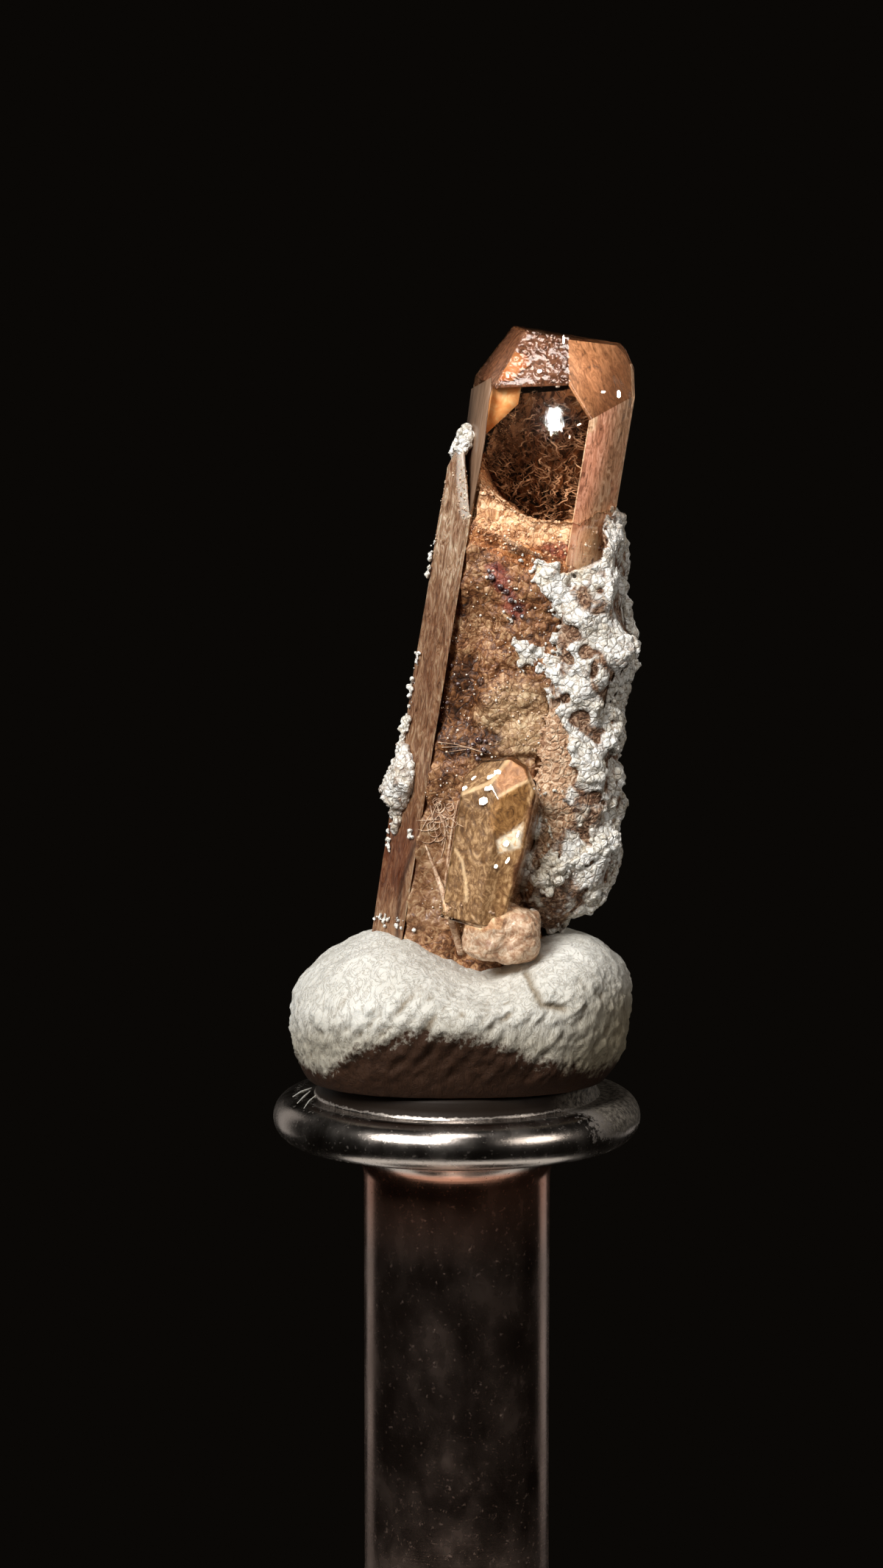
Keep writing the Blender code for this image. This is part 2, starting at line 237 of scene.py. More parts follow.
def numbers(data, key, width, kind=float):
    """One value of all points, polygons or triangles of a mesh, as rows of numbers."""
    flat = np.zeros(len(data) * width, kind)
    data.foreach_get(key, flat)
    return flat.reshape(-1, width)


def arrays_of(mesh):
    """A mesh's points in millimetres and its triangles."""
    mesh.calc_loop_triangles()
    return numbers(mesh.vertices, "co", 3) / MM, numbers(mesh.loop_triangles, "vertices", 3, int)


def ring_grid(rings, segments):
    """Faces of a closed form of rings of points, low to high, with a middle point under and over them."""
    ring = np.arange(segments)
    after = (ring + 1) % segments
    faces = []
    for k in range(rings - 1):
        low, high = k * segments, (k + 1) * segments
        faces.append(np.stack((low + ring, low + after, high + after, high + ring), 1))
    faces = np.concatenate(faces).tolist()
    under, over, last = rings * segments, rings * segments + 1, (rings - 1) * segments
    faces += [[int(b), int(a), under] for a, b in zip(ring, after)]
    faces += [[int(last + a), int(last + b), over] for a, b in zip(ring, after)]
    return faces


def normal_of(turn, lean):
    turn, lean = math.radians(turn), math.radians(lean)
    side = math.sin(turn) * RIGHT - math.cos(turn) * AWAY
    return math.sin(lean) * side + math.cos(lean) * UP


def crystal(point, faces):
    """A block cut by each face in turn, as a bmesh in millimetres."""
    bm = bmesh.new()
    bmesh.ops.create_cube(bm, size=60.0, matrix=Matrix.Translation(Vector(point)))
    for turn, lean, distance in faces:
        normal = normal_of(turn, lean)
        cut = bmesh.ops.bisect_plane(
            bm,
            geom=bm.verts[:] + bm.edges[:] + bm.faces[:],
            dist=1e-5,
            plane_co=point + normal * distance,
            plane_no=normal,
            clear_outer=True,
        )
        edges = [e for e in cut["geom_cut"] if isinstance(e, bmesh.types.BMEdge)]
        bmesh.ops.contextual_create(bm, geom=edges)
    bmesh.ops.recalc_face_normals(bm, faces=bm.faces)
    return settled(bm)


def settled(bm):
    """The mesh with its faces in one fixed order and each face once.

    Blender's triangulate varies the order from run to run, and it doubles slivers.
    """
    bm.verts.index_update()
    rings = []
    for face in bm.faces:
        ring = [v.index for v in face.verts]
        first = ring.index(min(ring))
        rings.append(ring[first:] + ring[:first])
    once = {}
    for ring in sorted(rings):
        once.setdefault(frozenset(ring), ring)
    made = bmesh.new()
    corners = [made.verts.new(v.co) for v in bm.verts]
    for ring in once.values():
        made.faces.new([corners[k] for k in ring])
    bm.free()
    made.verts.index_update()
    made.normal_update()
    return made


# Most rounds of splitting edges
SPLIT_ROUNDS = 9

def points_and_triangles(bm):
    bm = settled(bm)
    points = np.array([v.co[:] for v in bm.verts])
    triangles = np.array([[v.index for v in f.verts] for f in bm.faces])
    bm.free()
    return points, triangles


def fine_crystal(point, faces, bevel, longest):
    """A crystal with worn edges and small triangles. longest gives the longest edge at a place."""
    bm = crystal(point, faces)
    edges = bm.edges[:]
    bmesh.ops.bevel(bm, geom=edges, offset=bevel, segments=3, profile=0.5, affect="EDGES", clamp_overlap=True)
    bm = settled(bm)
    bmesh.ops.triangulate(bm, faces=bm.faces)
    for _ in range(SPLIT_ROUNDS):
        bm = settled(bm)
        long = {}
        for face in bm.faces:
            limit = longest(face.calc_center_median(), face.normal)
            long.update((e, True) for e in face.edges if e.calc_length() > limit)
        if not long:
            break
        bmesh.ops.subdivide_edges(bm, edges=list(long), cuts=1, use_grid_fill=False)
        bm = settled(bm)
        bmesh.ops.triangulate(bm, faces=[f for f in bm.faces if len(f.verts) > 3])
    return points_and_triangles(bm)


def unit_ball(fineness):
    """The points and triangles of an icosphere of radius 1."""
    bm = bmesh.new()
    bmesh.ops.create_icosphere(bm, subdivisions=fineness, radius=1.0)
    points = np.array([v.co[:] for v in bm.verts])
    faces = np.array([[v.index for v in f.verts] for f in bm.faces])
    bm.free()
    return points, faces


def pebbles(centres, radii, fineness=1, flat=0.25):
    """Rough round grains joined in one mesh: each an icosphere turned and stretched its own way."""
    ball, ball_faces = unit_ball(fineness)
    count = len(centres)
    turned = RANDOM.normal(size=(count, 3, 3))
    turned = np.linalg.qr(turned)[0]
    stretch = 1.0 + flat * RANDOM.uniform(-1, 1, (count, 3))
    points = np.einsum("nij,vj->nvi", turned, ball)
    points = points * stretch[:, None, :] * np.asarray(radii)[:, None, None] + np.asarray(centres)[:, None, :]
    sign = np.linalg.det(turned)
    faces = ball_faces[None] + (np.arange(count) * len(ball))[:, None, None]
    faces[sign < 0] = faces[sign < 0][:, :, ::-1]
    return points.reshape(-1, 3), faces.reshape(-1, 3)


def scattered(points, faces, count):
    """Random points on a mesh, by area, and the surface's directions there."""
    a, b, c = (points[faces[:, k]] for k in range(3))
    across = np.cross(b - a, c - a)
    area = np.linalg.norm(across, axis=1)
    pick = RANDOM.choice(len(faces), count, p=area / area.sum())
    u, v = RANDOM.uniform(size=(2, count, 1))
    over = (u + v) > 1
    u, v = np.where(over, 1 - u, u), np.where(over, 1 - v, v)
    return a[pick] + u * (b - a)[pick] + v * (c - a)[pick], across[pick] / np.maximum(area[pick, None], 1e-12)


def joined(parts):
    """Several (points, faces) as one."""
    start, all_points, all_faces = 0, [], []
    for points, faces in parts:
        all_points.append(points)
        all_faces.append(np.asarray(faces) + start)
        start += len(points)
    return np.concatenate(all_points), np.concatenate(all_faces)


def fused(name, parts, voxel):
    """Overlapping closed forms grown together into one skin."""
    points, faces = joined(parts)
    mesh = bpy.data.meshes.new(name)
    mesh.from_pydata(points.tolist(), [], faces.tolist())
    source = bpy.data.objects.new(name, mesh)
    bpy.context.scene.collection.objects.link(source)
    grow = source.modifiers.new("fuse", "REMESH")
    grow.mode = "VOXEL"
    grow.voxel_size = voxel
    graph = bpy.context.evaluated_depsgraph_get()
    made = bpy.data.meshes.new_from_object(source.evaluated_get(graph))
    bpy.data.objects.remove(source)
    bpy.data.meshes.remove(mesh)
    points, faces = numbers(made.vertices, "co", 3), numbers(made.polygons, "vertices", 4, int)
    bpy.data.meshes.remove(made)
    return points, faces


def smoothed(points, faces, rounds):
    """Each point moved to the mean of its neighbours, some rounds over."""
    faces = np.asarray(faces)
    width = faces.shape[1]
    pairs = np.concatenate([np.stack((faces[:, k], faces[:, (k + 1) % width]), 1) for k in range(width)])
    pairs = np.concatenate((pairs, pairs[:, ::-1]))
    count = np.maximum(np.bincount(pairs[:, 0], minlength=len(points)), 1)[:, None]
    for _ in range(rounds):
        moved = np.stack([np.bincount(pairs[:, 0], points[pairs[:, 1], k], len(points)) for k in range(3)], 1)
        points = moved / count
    return points


def hollowness(points, faces, rounds):
    """How far each point lies under the smoothed surface, in millimetres. Negative on a bump."""
    soft = smoothed(points, faces, rounds)
    out = normals_of(soft, faces)
    return ((soft - points) * out).sum(1)


def tube(path, radius, sides=6):
    """A thin closed tube along points, as (points, triangles)."""
    path = np.asarray(path, float)
    radius = np.broadcast_to(radius, len(path))
    along = np.gradient(path, axis=0)
    along /= np.linalg.norm(along, axis=1, keepdims=True)
    side = np.cross(along, (0.3, 1.0, 0.2))
    side /= np.linalg.norm(side, axis=1, keepdims=True)
    other = np.cross(along, side)
    angle = 2 * np.pi * np.arange(sides) / sides
    rings = path[:, None] + radius[:, None, None] * (
        np.cos(angle)[None, :, None] * side[:, None] + np.sin(angle)[None, :, None] * other[:, None]
    )
    points = np.concatenate((rings.reshape(-1, 3), path[:1], path[-1:]))
    faces = []
    for quad in ring_grid(len(path), sides):
        faces.append(quad[:3])
        if len(quad) == 4:
            faces.append([quad[0], quad[2], quad[3]])
    return points, np.array(faces)


# Material helpers


def new_material(name):
    material = bpy.data.materials.new(name)
    material.use_nodes = True
    tree = material.node_tree
    return material, tree, tree.nodes["Principled BSDF"]


def node(tree, kind, settings=None, **inputs):
    """A shader node. Inputs are numbers, colours or the sockets to link, named with _ for a space."""
    made = tree.nodes.new("ShaderNode" + kind)
    for key, value in (settings or {}).items():
        setattr(made, key, value)
    for key, value in inputs.items():
        put(tree, made.inputs[key.replace("_", " ")], value)
    return made


def put(tree, socket, value):
    if isinstance(value, bpy.types.NodeSocket):
        tree.links.new(value, socket)
    else:
        socket.default_value = value


def maths(tree, operation, a, b=0.0, c=0.0, clamp=False):
    made = tree.nodes.new("ShaderNodeMath")
    made.operation = operation
    made.use_clamp = clamp
    for socket, value in zip(made.inputs, (a, b, c)):
        put(tree, socket, value)
    return made.outputs[0]


def mixed(tree, share, a, b, blend="MIX"):
    made = tree.nodes.new("ShaderNodeMix")
    made.data_type = "RGBA"
    made.blend_type = blend
    put(tree, made.inputs[0], share)
    put(tree, made.inputs[6], a if isinstance(a, bpy.types.NodeSocket) else (*a, 1.0))
    put(tree, made.inputs[7], b if isinstance(b, bpy.types.NodeSocket) else (*b, 1.0))
    return made.outputs[2]


def ramp(tree, share, stops):
    """Colours or greys by a share from 0 to 1."""
    made = tree.nodes.new("ShaderNodeValToRGB")
    elements = made.color_ramp.elements
    while len(elements) < len(stops):
        elements.new(0.5)
    for element, (place, colour) in zip(elements, stops):
        element.position = place
        element.color = (*colour, 1.0) if isinstance(colour, tuple) else (colour, colour, colour, 1.0)
    put(tree, made.inputs[0], share)
    return made.outputs[0]


def tones(tree, share, places, *shades):
    """A ramp through some tones, each at its place."""
    return ramp(tree, share, tuple(zip(places, shades)))


def millimetres(tree, stretch=(1.0, 1.0, 1.0), turn=(0.0, 0.0, 0.0)):
    """The place on the piece in millimetres, stretched for grain that runs one way."""
    place = node(tree, "TexCoord").outputs["Object"]
    made = node(tree, "Mapping", Vector=place)
    made.inputs["Rotation"].default_value = turn
    made.inputs["Scale"].default_value = [1000.0 * s for s in stretch]
    return made.outputs[0]


def grain(tree, place, scale, detail=4.0, rough=0.6, warp=0.0):
    shape = {"Scale": scale, "Detail": detail, "Roughness": rough, "Distortion": warp}
    return node(tree, "TexNoise", Vector=place, **shape).outputs[0]


def facets(tree, place, scale):
    """Small crystals side by side: dark seams between them, and a number for each."""
    warp = node(tree, "TexNoise", Vector=place, Scale=scale * 0.8, Detail=2.0).outputs["Color"]
    moved = node(tree, "VectorMath", {"operation": "MULTIPLY_ADD"}).inputs
    put(tree, moved[0], warp)
    moved[1].default_value = [0.9 / scale] * 3
    put(tree, moved[2], place)
    moved = moved[0].node.outputs[0]
    seam = node(tree, "TexVoronoi", {"feature": "DISTANCE_TO_EDGE"}, Vector=moved, Scale=scale)
    seam = seam.outputs["Distance"]
    own = node(tree, "TexVoronoi", {}, Vector=moved, Scale=scale).outputs["Color"]
    return seam, node(tree, "SeparateColor", Color=own).outputs[0]


def mask(tree, name):
    return node(tree, "Attribute", {"attribute_name": name}).outputs["Fac"]


def bumped(tree, height, strength, distance):
    """A bump from heights that are distance millimetres apart."""
    return node(tree, "Bump", Height=height, Strength=strength, Distance=distance * MM).outputs[0]


def set_shader(tree, shader, **inputs):
    for key, value in inputs.items():
        put(tree, shader.inputs[key.replace("_", " ")], value)


GROWTH_TURN = (0.0, -LEAN, 0.0)
TOPAZ_IOR = 1.62


def clear_topaz(name, absorb, density, tint):
    """Glass with faint lengthwise growth lines, which lets light through to what lies inside."""
    material, tree, shader = new_material(name)
    along = millimetres(tree, (9.0, 9.0, 0.55), GROWTH_TURN)
    fine = grain(tree, along, 1.0, 5.0, 0.65, 0.4)
    wavy = grain(tree, millimetres(tree, (3.4, 3.4, 1.3), GROWTH_TURN), 1.0, 3.0, 0.6, 1.2)
    height = maths(tree, "ADD", maths(tree, "MULTIPLY", fine, 0.5), maths(tree, "MULTIPLY", wavy, 0.9))
    set_shader(
        tree,
        shader,
        Base_Color=(*tint, 1.0),
        Roughness=0.02,
        IOR=TOPAZ_IOR,
        Transmission_Weight=1.0,
        Normal=bumped(tree, height, maths(tree, "MULTIPLY_ADD", mask(tree, "striae"), 0.25, 0.008), 0.02),
    )
    let_light = node(tree, "BsdfTransparent", Color=(*[c * 0.9 for c in tint], 1.0))
    either = node(tree, "MixShader", Fac=node(tree, "LightPath").outputs["Is Shadow Ray"])
    absorption = node(tree, "VolumeAbsorption", Color=(*absorb, 1.0), Density=density)
    out = tree.nodes["Material Output"]
    for source, socket in (
        (shader, either.inputs[1]),
        (let_light, either.inputs[2]),
        (either, out.inputs["Surface"]),
        (absorption, out.inputs["Volume"]),
    ):
        tree.links.new(source.outputs[0], socket)
    return material

# mask, dark tone, middle tone, pale tone
STAIN_AND_SHADE_TONES = (
    ("amber", (0.11, 0.036, 0.011), (0.34, 0.135, 0.047), (0.62, 0.34, 0.16)),
    ("yellow", (0.32, 0.18, 0.085), (0.56, 0.36, 0.19), (0.84, 0.66, 0.42)),
    ("cream", (0.46, 0.25, 0.13), (0.96, 0.68, 0.44), (1.0, 0.93, 0.75)),
    ("red", (0.10, 0.012, 0.01), (0.24, 0.05, 0.03), (0.45, 0.14, 0.08)),
    ("rosy", (0.125, 0.050, 0.020), (0.275, 0.136, 0.062), (0.46, 0.30, 0.17)),
    # dark: painted shade in the recesses of the etched body
    ("dark", (0.015, 0.005, 0.0015), (0.085, 0.025, 0.005), (0.30, 0.125, 0.042)),
    ("pale", (0.34, 0.22, 0.16), (0.72, 0.60, 0.50), (0.97, 0.93, 0.86)),
    ("tan", (0.40, 0.215, 0.125), (0.61, 0.40, 0.255), (0.84, 0.66, 0.49)),
)


def sugary_topaz():
    """Etched topaz: tan swirls round small grains, with stains, painted shade in its recesses, and frosted
    patches.
    """
    material, tree, shader = new_material("etched_topaz")
    place = millimetres(tree)
    broad = grain(tree, place, 0.9, 4.0, 0.6, 0.5)
    seam, own = facets(tree, place, 4.6)
    swirl = grain(tree, place, 3.4, 5.0, 0.62, 2.4)
    sugar = maths(tree, "MULTIPLY_ADD", maths(tree, "SUBTRACT", own, 0.5), 0.16, swirl)

    def toned(low, middle, high):
        return ramp(tree, sugar, ((0.36, low), (0.50, middle), (0.66, high)))

    colour = toned((0.12, 0.045, 0.015), (0.35, 0.165, 0.070), (0.72, 0.48, 0.27))
    warm = ramp(tree, broad, ((0.35, (0.80, 0.66, 0.56)), (0.65, (1.0, 1.0, 1.0))))
    colour = mixed(tree, 1.0, colour, warm, "MULTIPLY")
    for tone_mask, *shades in STAIN_AND_SHADE_TONES:
        colour = mixed(tree, mask(tree, tone_mask), colour, toned(*shades))
    # Dark seams between grains, and on the stump painted shade along a crease
    colour = mixed(tree, mask(tree, "hollow"), colour, (0.13, 0.05, 0.02))
    even = maths(tree, "MAXIMUM", mask(tree, "tan"), mask(tree, "smooth"))
    rim = ramp(tree, seam, ((0.0, (0.45, 0.33, 0.26)), (0.07, (1.0, 1.0, 1.0))))
    outlined = mixed(tree, 1.0, colour, rim, "MULTIPLY")
    colour = mixed(tree, maths(tree, "MULTIPLY_ADD", even, -0.8, 0.9), colour, outlined)
    fine = grain(tree, place, 18.0, 3.0, 0.6)
    height = maths(tree, "MULTIPLY_ADD", fine, 0.15, sugar)
    height = maths(tree, "ADD", height, ramp(tree, seam, ((0.0, 0.0), (0.15, 0.4))))
    set_shader(
        tree,
        shader,
        Base_Color=colour,
        Roughness=ramp(tree, fine, ((0.35, 0.30), (0.65, 0.65))),
        IOR=TOPAZ_IOR,
        Specular_IOR_Level=0.35,
        Normal=bumped(tree, height, maths(tree, "MULTIPLY_ADD", even, -0.3, 0.55), 0.06),
    )
    return material


CLOUD_TONES = ((0.17, 0.07, 0.03), (0.56, 0.30, 0.16), (0.86, 0.60, 0.42))
CREAM_TONES = ((0.50, 0.27, 0.13), (0.95, 0.68, 0.44), (1.0, 0.92, 0.74))
# Where the dark, middle and pale tones lie along the growth lines
LINE_PLACES = (0.34, 0.5, 0.66)


def cloudy_growth(name, shade, shades=CLOUD_TONES, cream_from=None):
    """A thin cloud in clear topaz, thicker and thinner, with streaks. It turns cream below a height."""
    material, tree, shader = new_material(name)
    lines = grain(tree, millimetres(tree, (4.2, 4.2, 1.7), GROWTH_TURN), 1.0, 5.0, 0.7, 2.0)
    broad = grain(tree, millimetres(tree, (1.2, 1.2, 0.7), GROWTH_TURN), 1.0, 3.0, 0.6, 0.8)
    colour = tones(tree, lines, LINE_PLACES, *shades)
    colour = mixed(tree, maths(tree, "MULTIPLY", broad, 0.5), colour, (0.40, 0.24, 0.16))
    colour = mixed(tree, 1.0, colour, shade, "MULTIPLY")
    thick = ramp(tree, maths(tree, "MULTIPLY_ADD", broad, 0.5, lines), ((0.52, 0.40), (0.86, 1.0)))
    if cream_from is not None:
        height = node(tree, "SeparateXYZ", Vector=millimetres(tree)).outputs[2]
        low = node(tree, "MapRange", Value=height, From_Min=cream_from, From_Max=cream_from - 0.9).outputs[0]
        streaked = maths(tree, "SUBTRACT", lines, 0.5)
        low = maths(tree, "MULTIPLY_ADD", streaked, maths(tree, "MULTIPLY", low, 1.2), low, True)
        colour = mixed(tree, low, colour, tones(tree, lines, LINE_PLACES, *CREAM_TONES))
        thick = maths(tree, "MAXIMUM", thick, low)
    set_shader(tree, shader, Base_Color=colour, Roughness=0.6, Alpha=thick)
    return material


def growth_haze():
    """A brown marbled haze behind the window."""
    material, tree, shader = new_material("growth_haze")
    marble = grain(tree, millimetres(tree, (3.2, 3.2, 1.9), GROWTH_TURN), 1.0, 4.0, 0.65, 1.6)
    soft = grain(tree, millimetres(tree), 0.8, 3.0, 0.6, 0.4)
    share = maths(tree, "MULTIPLY_ADD", soft, 0.4, marble)
    shades = (0.05, 0.021, 0.009), (0.15, 0.070, 0.032), (0.32, 0.18, 0.09)
    colour = tones(tree, share, (0.60, 0.74, 0.86), *shades)
    set_shader(
        tree,
        shader,
        Base_Color=colour,
        Roughness=0.6,
        Alpha=ramp(tree, share, ((0.58, 0.0), (0.76, 0.85))),
    )
    return material


def grey_face():
    """A grey-brown plate on the main crystal's smooth left face, a painted reflection of the grey that face
    shows.
    """
    material, tree, shader = new_material("grey_smooth_face")
    lines = grain(tree, millimetres(tree, (6.0, 6.0, 0.6), GROWTH_TURN), 1.0, 4.0, 0.6, 0.3)
    set_shader(
        tree,
        shader,
        Base_Color=ramp(tree, lines, ((0.35, (0.175, 0.102, 0.062)), (0.65, (0.30, 0.18, 0.112)))),
        Roughness=0.35,
        Normal=bumped(tree, lines, 0.2, 0.02),
    )
    return material


def golden_core():
    """Cloudy golden growth just under the small crystal's faces, with painted light: a lighter side and a
    bright window.
    """
    material, tree, shader = new_material("golden_core")
    place = millimetres(tree)
    lines = grain(tree, millimetres(tree, (3.4, 3.4, 2.2), GROWTH_TURN), 1.0, 5.0, 0.65, 2.2)
    marble = grain(tree, place, 4.5, 4.0, 0.65, 1.5)
    tone = maths(tree, "MULTIPLY_ADD", maths(tree, "SUBTRACT", marble, 0.5), 0.5, lines)

    def toned(low, middle, high):
        return ramp(tree, tone, ((0.34, low), (0.50, middle), (0.66, high)))

    colour = toned((0.085, 0.041, 0.017), (0.19, 0.107, 0.050), (0.46, 0.32, 0.19))
    # lit: the right side painted lighter, as if lit more
    for part, *shades in (
        ("lit", (0.20, 0.10, 0.043), (0.42, 0.255, 0.125), (0.74, 0.54, 0.33)),
        ("deep", (0.09, 0.040, 0.013), (0.26, 0.135, 0.048), (0.44, 0.26, 0.11)),
        ("orange", (0.20, 0.085, 0.034), (0.32, 0.152, 0.070), (0.50, 0.28, 0.15)),
    ):
        colour = mixed(tree, mask(tree, part), colour, toned(*shades))
    # Painted light: near white in the window
    bright = ramp(tree, marble, ((0.40, (0.86, 0.66, 0.44)), (0.48, (1.0, 0.98, 0.92))))
    colour = mixed(tree, mask(tree, "window"), colour, bright)
    ruddy = toned((0.07, 0.022, 0.01), (0.19, 0.08, 0.04), (0.36, 0.19, 0.10))
    colour = mixed(tree, maths(tree, "MULTIPLY", mask(tree, "ruddy"), 0.85), colour, ruddy)
    colour = mixed(tree, mask(tree, "pale"), colour, (0.90, 0.72, 0.50))
    set_shader(
        tree,
        shader,
        Base_Color=colour,
        Roughness=0.4,
        Normal=bumped(tree, tone, 0.5, 0.05),
    )
    return material


def dark_bead():
    material, tree, shader = new_material("dark_bead")
    tone = grain(tree, millimetres(tree), 9.0, 3.0)
    shades = (0.035, 0.012, 0.012), (0.12, 0.07, 0.07), (0.75, 0.74, 0.76)
    colour = tones(tree, tone, (0.4, 0.55, 0.66), *shades)
    set_shader(
        tree,
        shader,
        Base_Color=colour,
        Roughness=0.08,
        IOR=TOPAZ_IOR,
        Coat_Weight=1.0,
        Coat_Roughness=0.03,
    )
    return material


# Painted light: bright orange for plates inside the crystal where refracted light shows orange; the plate just
# under a face is duller
def glowing_orange():
    material, tree, shader = new_material("painted_orange_glow")
    tone = grain(tree, millimetres(tree), 3.0, 4.0, 0.6, 1.0)
    colour = tones(tree, tone, (0.36, 0.52, 0.68), (0.92, 0.34, 0.09), (1.0, 0.54, 0.22), (1.0, 0.76, 0.42))
    duller = mixed(tree, 1.0, colour, (0.46, 0.36, 0.32), "MULTIPLY")
    colour = mixed(tree, mask(tree, "shallow"), colour, duller)
    set_shader(tree, shader, Base_Color=colour, Roughness=0.5)
    return material


# Painted highlights: near white metal for plates put where highlights show
def bright_glint():
    material, tree, shader = new_material("highlight_plate")
    tone = grain(tree, millimetres(tree), 12.0, 3.0)
    set_shader(
        tree,
        shader,
        Base_Color=mixed(tree, tone, (0.90, 0.84, 0.74), (1.0, 0.99, 0.96)),
        Metallic=0.7,
        Roughness=ramp(tree, tone, ((0.4, 0.22), (0.7, 0.4))),
    )
    return material


def frosted_grain():
    material, tree, shader = new_material("frosted_grain")
    tone = grain(tree, millimetres(tree), 1.6, 3.0)
    set_shader(
        tree,
        shader,
        Base_Color=ramp(tree, tone, ((0.35, (0.80, 0.50, 0.28)), (0.55, (0.97, 0.90, 0.80)))),
        Roughness=0.12,
        IOR=TOPAZ_IOR,
        Coat_Weight=0.6,
    )
    return material


def thread_stuff():
    material, tree, shader = new_material("growth_threads")
    tone = grain(tree, millimetres(tree), 2.2, 3.0)
    shades = (0.06, 0.032, 0.017), (0.27, 0.18, 0.12), (0.92, 0.80, 0.66)
    colour = tones(tree, tone, (0.38, 0.5, 0.64), *shades)
    set_shader(tree, shader, Base_Color=colour, Roughness=0.5)
    return material


def satin_topaz():
    """Cloudy topaz with lengthwise growth lines."""
    material, tree, shader = new_material("satin_topaz")
    lines = grain(tree, millimetres(tree, (4.6, 4.6, 1.5), GROWTH_TURN), 1.0, 5.0, 0.68, 2.2)
    broad = grain(tree, millimetres(tree, (1.8, 1.8, 0.8), GROWTH_TURN), 1.0, 3.0, 0.6, 0.8)
    colour = tones(tree, lines, LINE_PLACES, (0.17, 0.080, 0.040), (0.52, 0.315, 0.185), (1.0, 0.84, 0.64))
    tone = ramp(tree, broad, ((0.38, (0.68, 0.57, 0.51)), (0.62, (1.0, 1.0, 1.0))))
    colour = mixed(tree, 1.0, colour, tone, "MULTIPLY")
    # Painted shade: the prism darker from about its middle down
    darker = mixed(tree, 1.0, colour, (0.60, 0.485, 0.40), "MULTIPLY")
    colour = mixed(tree, mask(tree, "dusk"), colour, darker)
    for part, *shades in (
        ("rosy", (0.08, 0.022, 0.009), (0.175, 0.058, 0.024), (0.32, 0.15, 0.075)),
        ("tan", (0.20, 0.085, 0.04), (0.38, 0.20, 0.105), (0.60, 0.40, 0.25)),
    ):
        colour = mixed(tree, mask(tree, part), colour, tones(tree, lines, (0.34, 0.5, 0.68), *shades))
    colour = mixed(tree, mask(tree, "pale"), colour, (0.80, 0.68, 0.58))
    colour = mixed(tree, mask(tree, "dark"), colour, (0.05, 0.018, 0.009))
    set_shader(
        tree,
        shader,
        Base_Color=colour,
        Roughness=ramp(tree, lines, ((0.3, 0.28), (0.7, 0.5))),
        IOR=TOPAZ_IOR,
        Transmission_Weight=0.18,
        Subsurface_Weight=0.2,
        Subsurface_Radius=(1.0, 0.4, 0.2),
        Subsurface_Scale=0.0005,
        Normal=bumped(tree, lines, 0.55, 0.05),
    )
    return material


def crust_stone():
    """White pebbly rock with brown seams and hollows; the hollow colour also paints shade in the deepest
    hollows.
    """
    material, tree, shader = new_material("pebbly_rhyolite")
    place = millimetres(tree)
    broad = grain(tree, place, 1.1, 4.0, 0.6, 0.4)
    fine = grain(tree, place, 9.0, 5.0, 0.7, 0.3)
    swirl = grain(tree, place, 4.5, 5.0, 0.62, 2.2)
    seam, own = facets(tree, place, 5.0)
    mottle = maths(tree, "MULTIPLY_ADD", maths(tree, "SUBTRACT", own, 0.5), 0.30, fine)
    white = tones(tree, mottle, (0.24, 0.38, 0.52), (0.48, 0.41, 0.32), (0.92, 0.89, 0.81), (1.0, 1.0, 0.97))
    rim = ramp(tree, seam, ((0.0, (0.36, 0.28, 0.20)), (0.09, (1.0, 1.0, 1.0))))
    white = mixed(tree, 0.65, white, rim, "MULTIPLY")
    tone = ramp(tree, broad, ((0.32, (0.80, 0.74, 0.64)), (0.54, (1.0, 1.0, 1.0))))
    colour = mixed(tree, 0.85, white, tone, "MULTIPLY")
    places = (0.36, 0.5, 0.66)
    brown = tones(tree, swirl, places, (0.045, 0.018, 0.009), (0.20, 0.095, 0.048), (0.58, 0.40, 0.27))
    soil = tones(tree, swirl, places, (0.24, 0.11, 0.055), (0.60, 0.36, 0.21), (0.95, 0.76, 0.56))
    brown = mixed(tree, mask(tree, "earth"), brown, soil)
    colour = mixed(tree, mask(tree, "hollow"), colour, brown)
    height = maths(tree, "MULTIPLY_ADD", swirl, 0.6, fine)
    height = maths(tree, "ADD", height, ramp(tree, seam, ((0.0, 0.0), (0.2, 1.0))))
    set_shader(
        tree,
        shader,
        Base_Color=colour,
        Roughness=ramp(tree, fine, ((0.4, 0.95), (0.75, 0.5))),
        Normal=bumped(tree, height, 0.7, 0.05),
    )
    return material


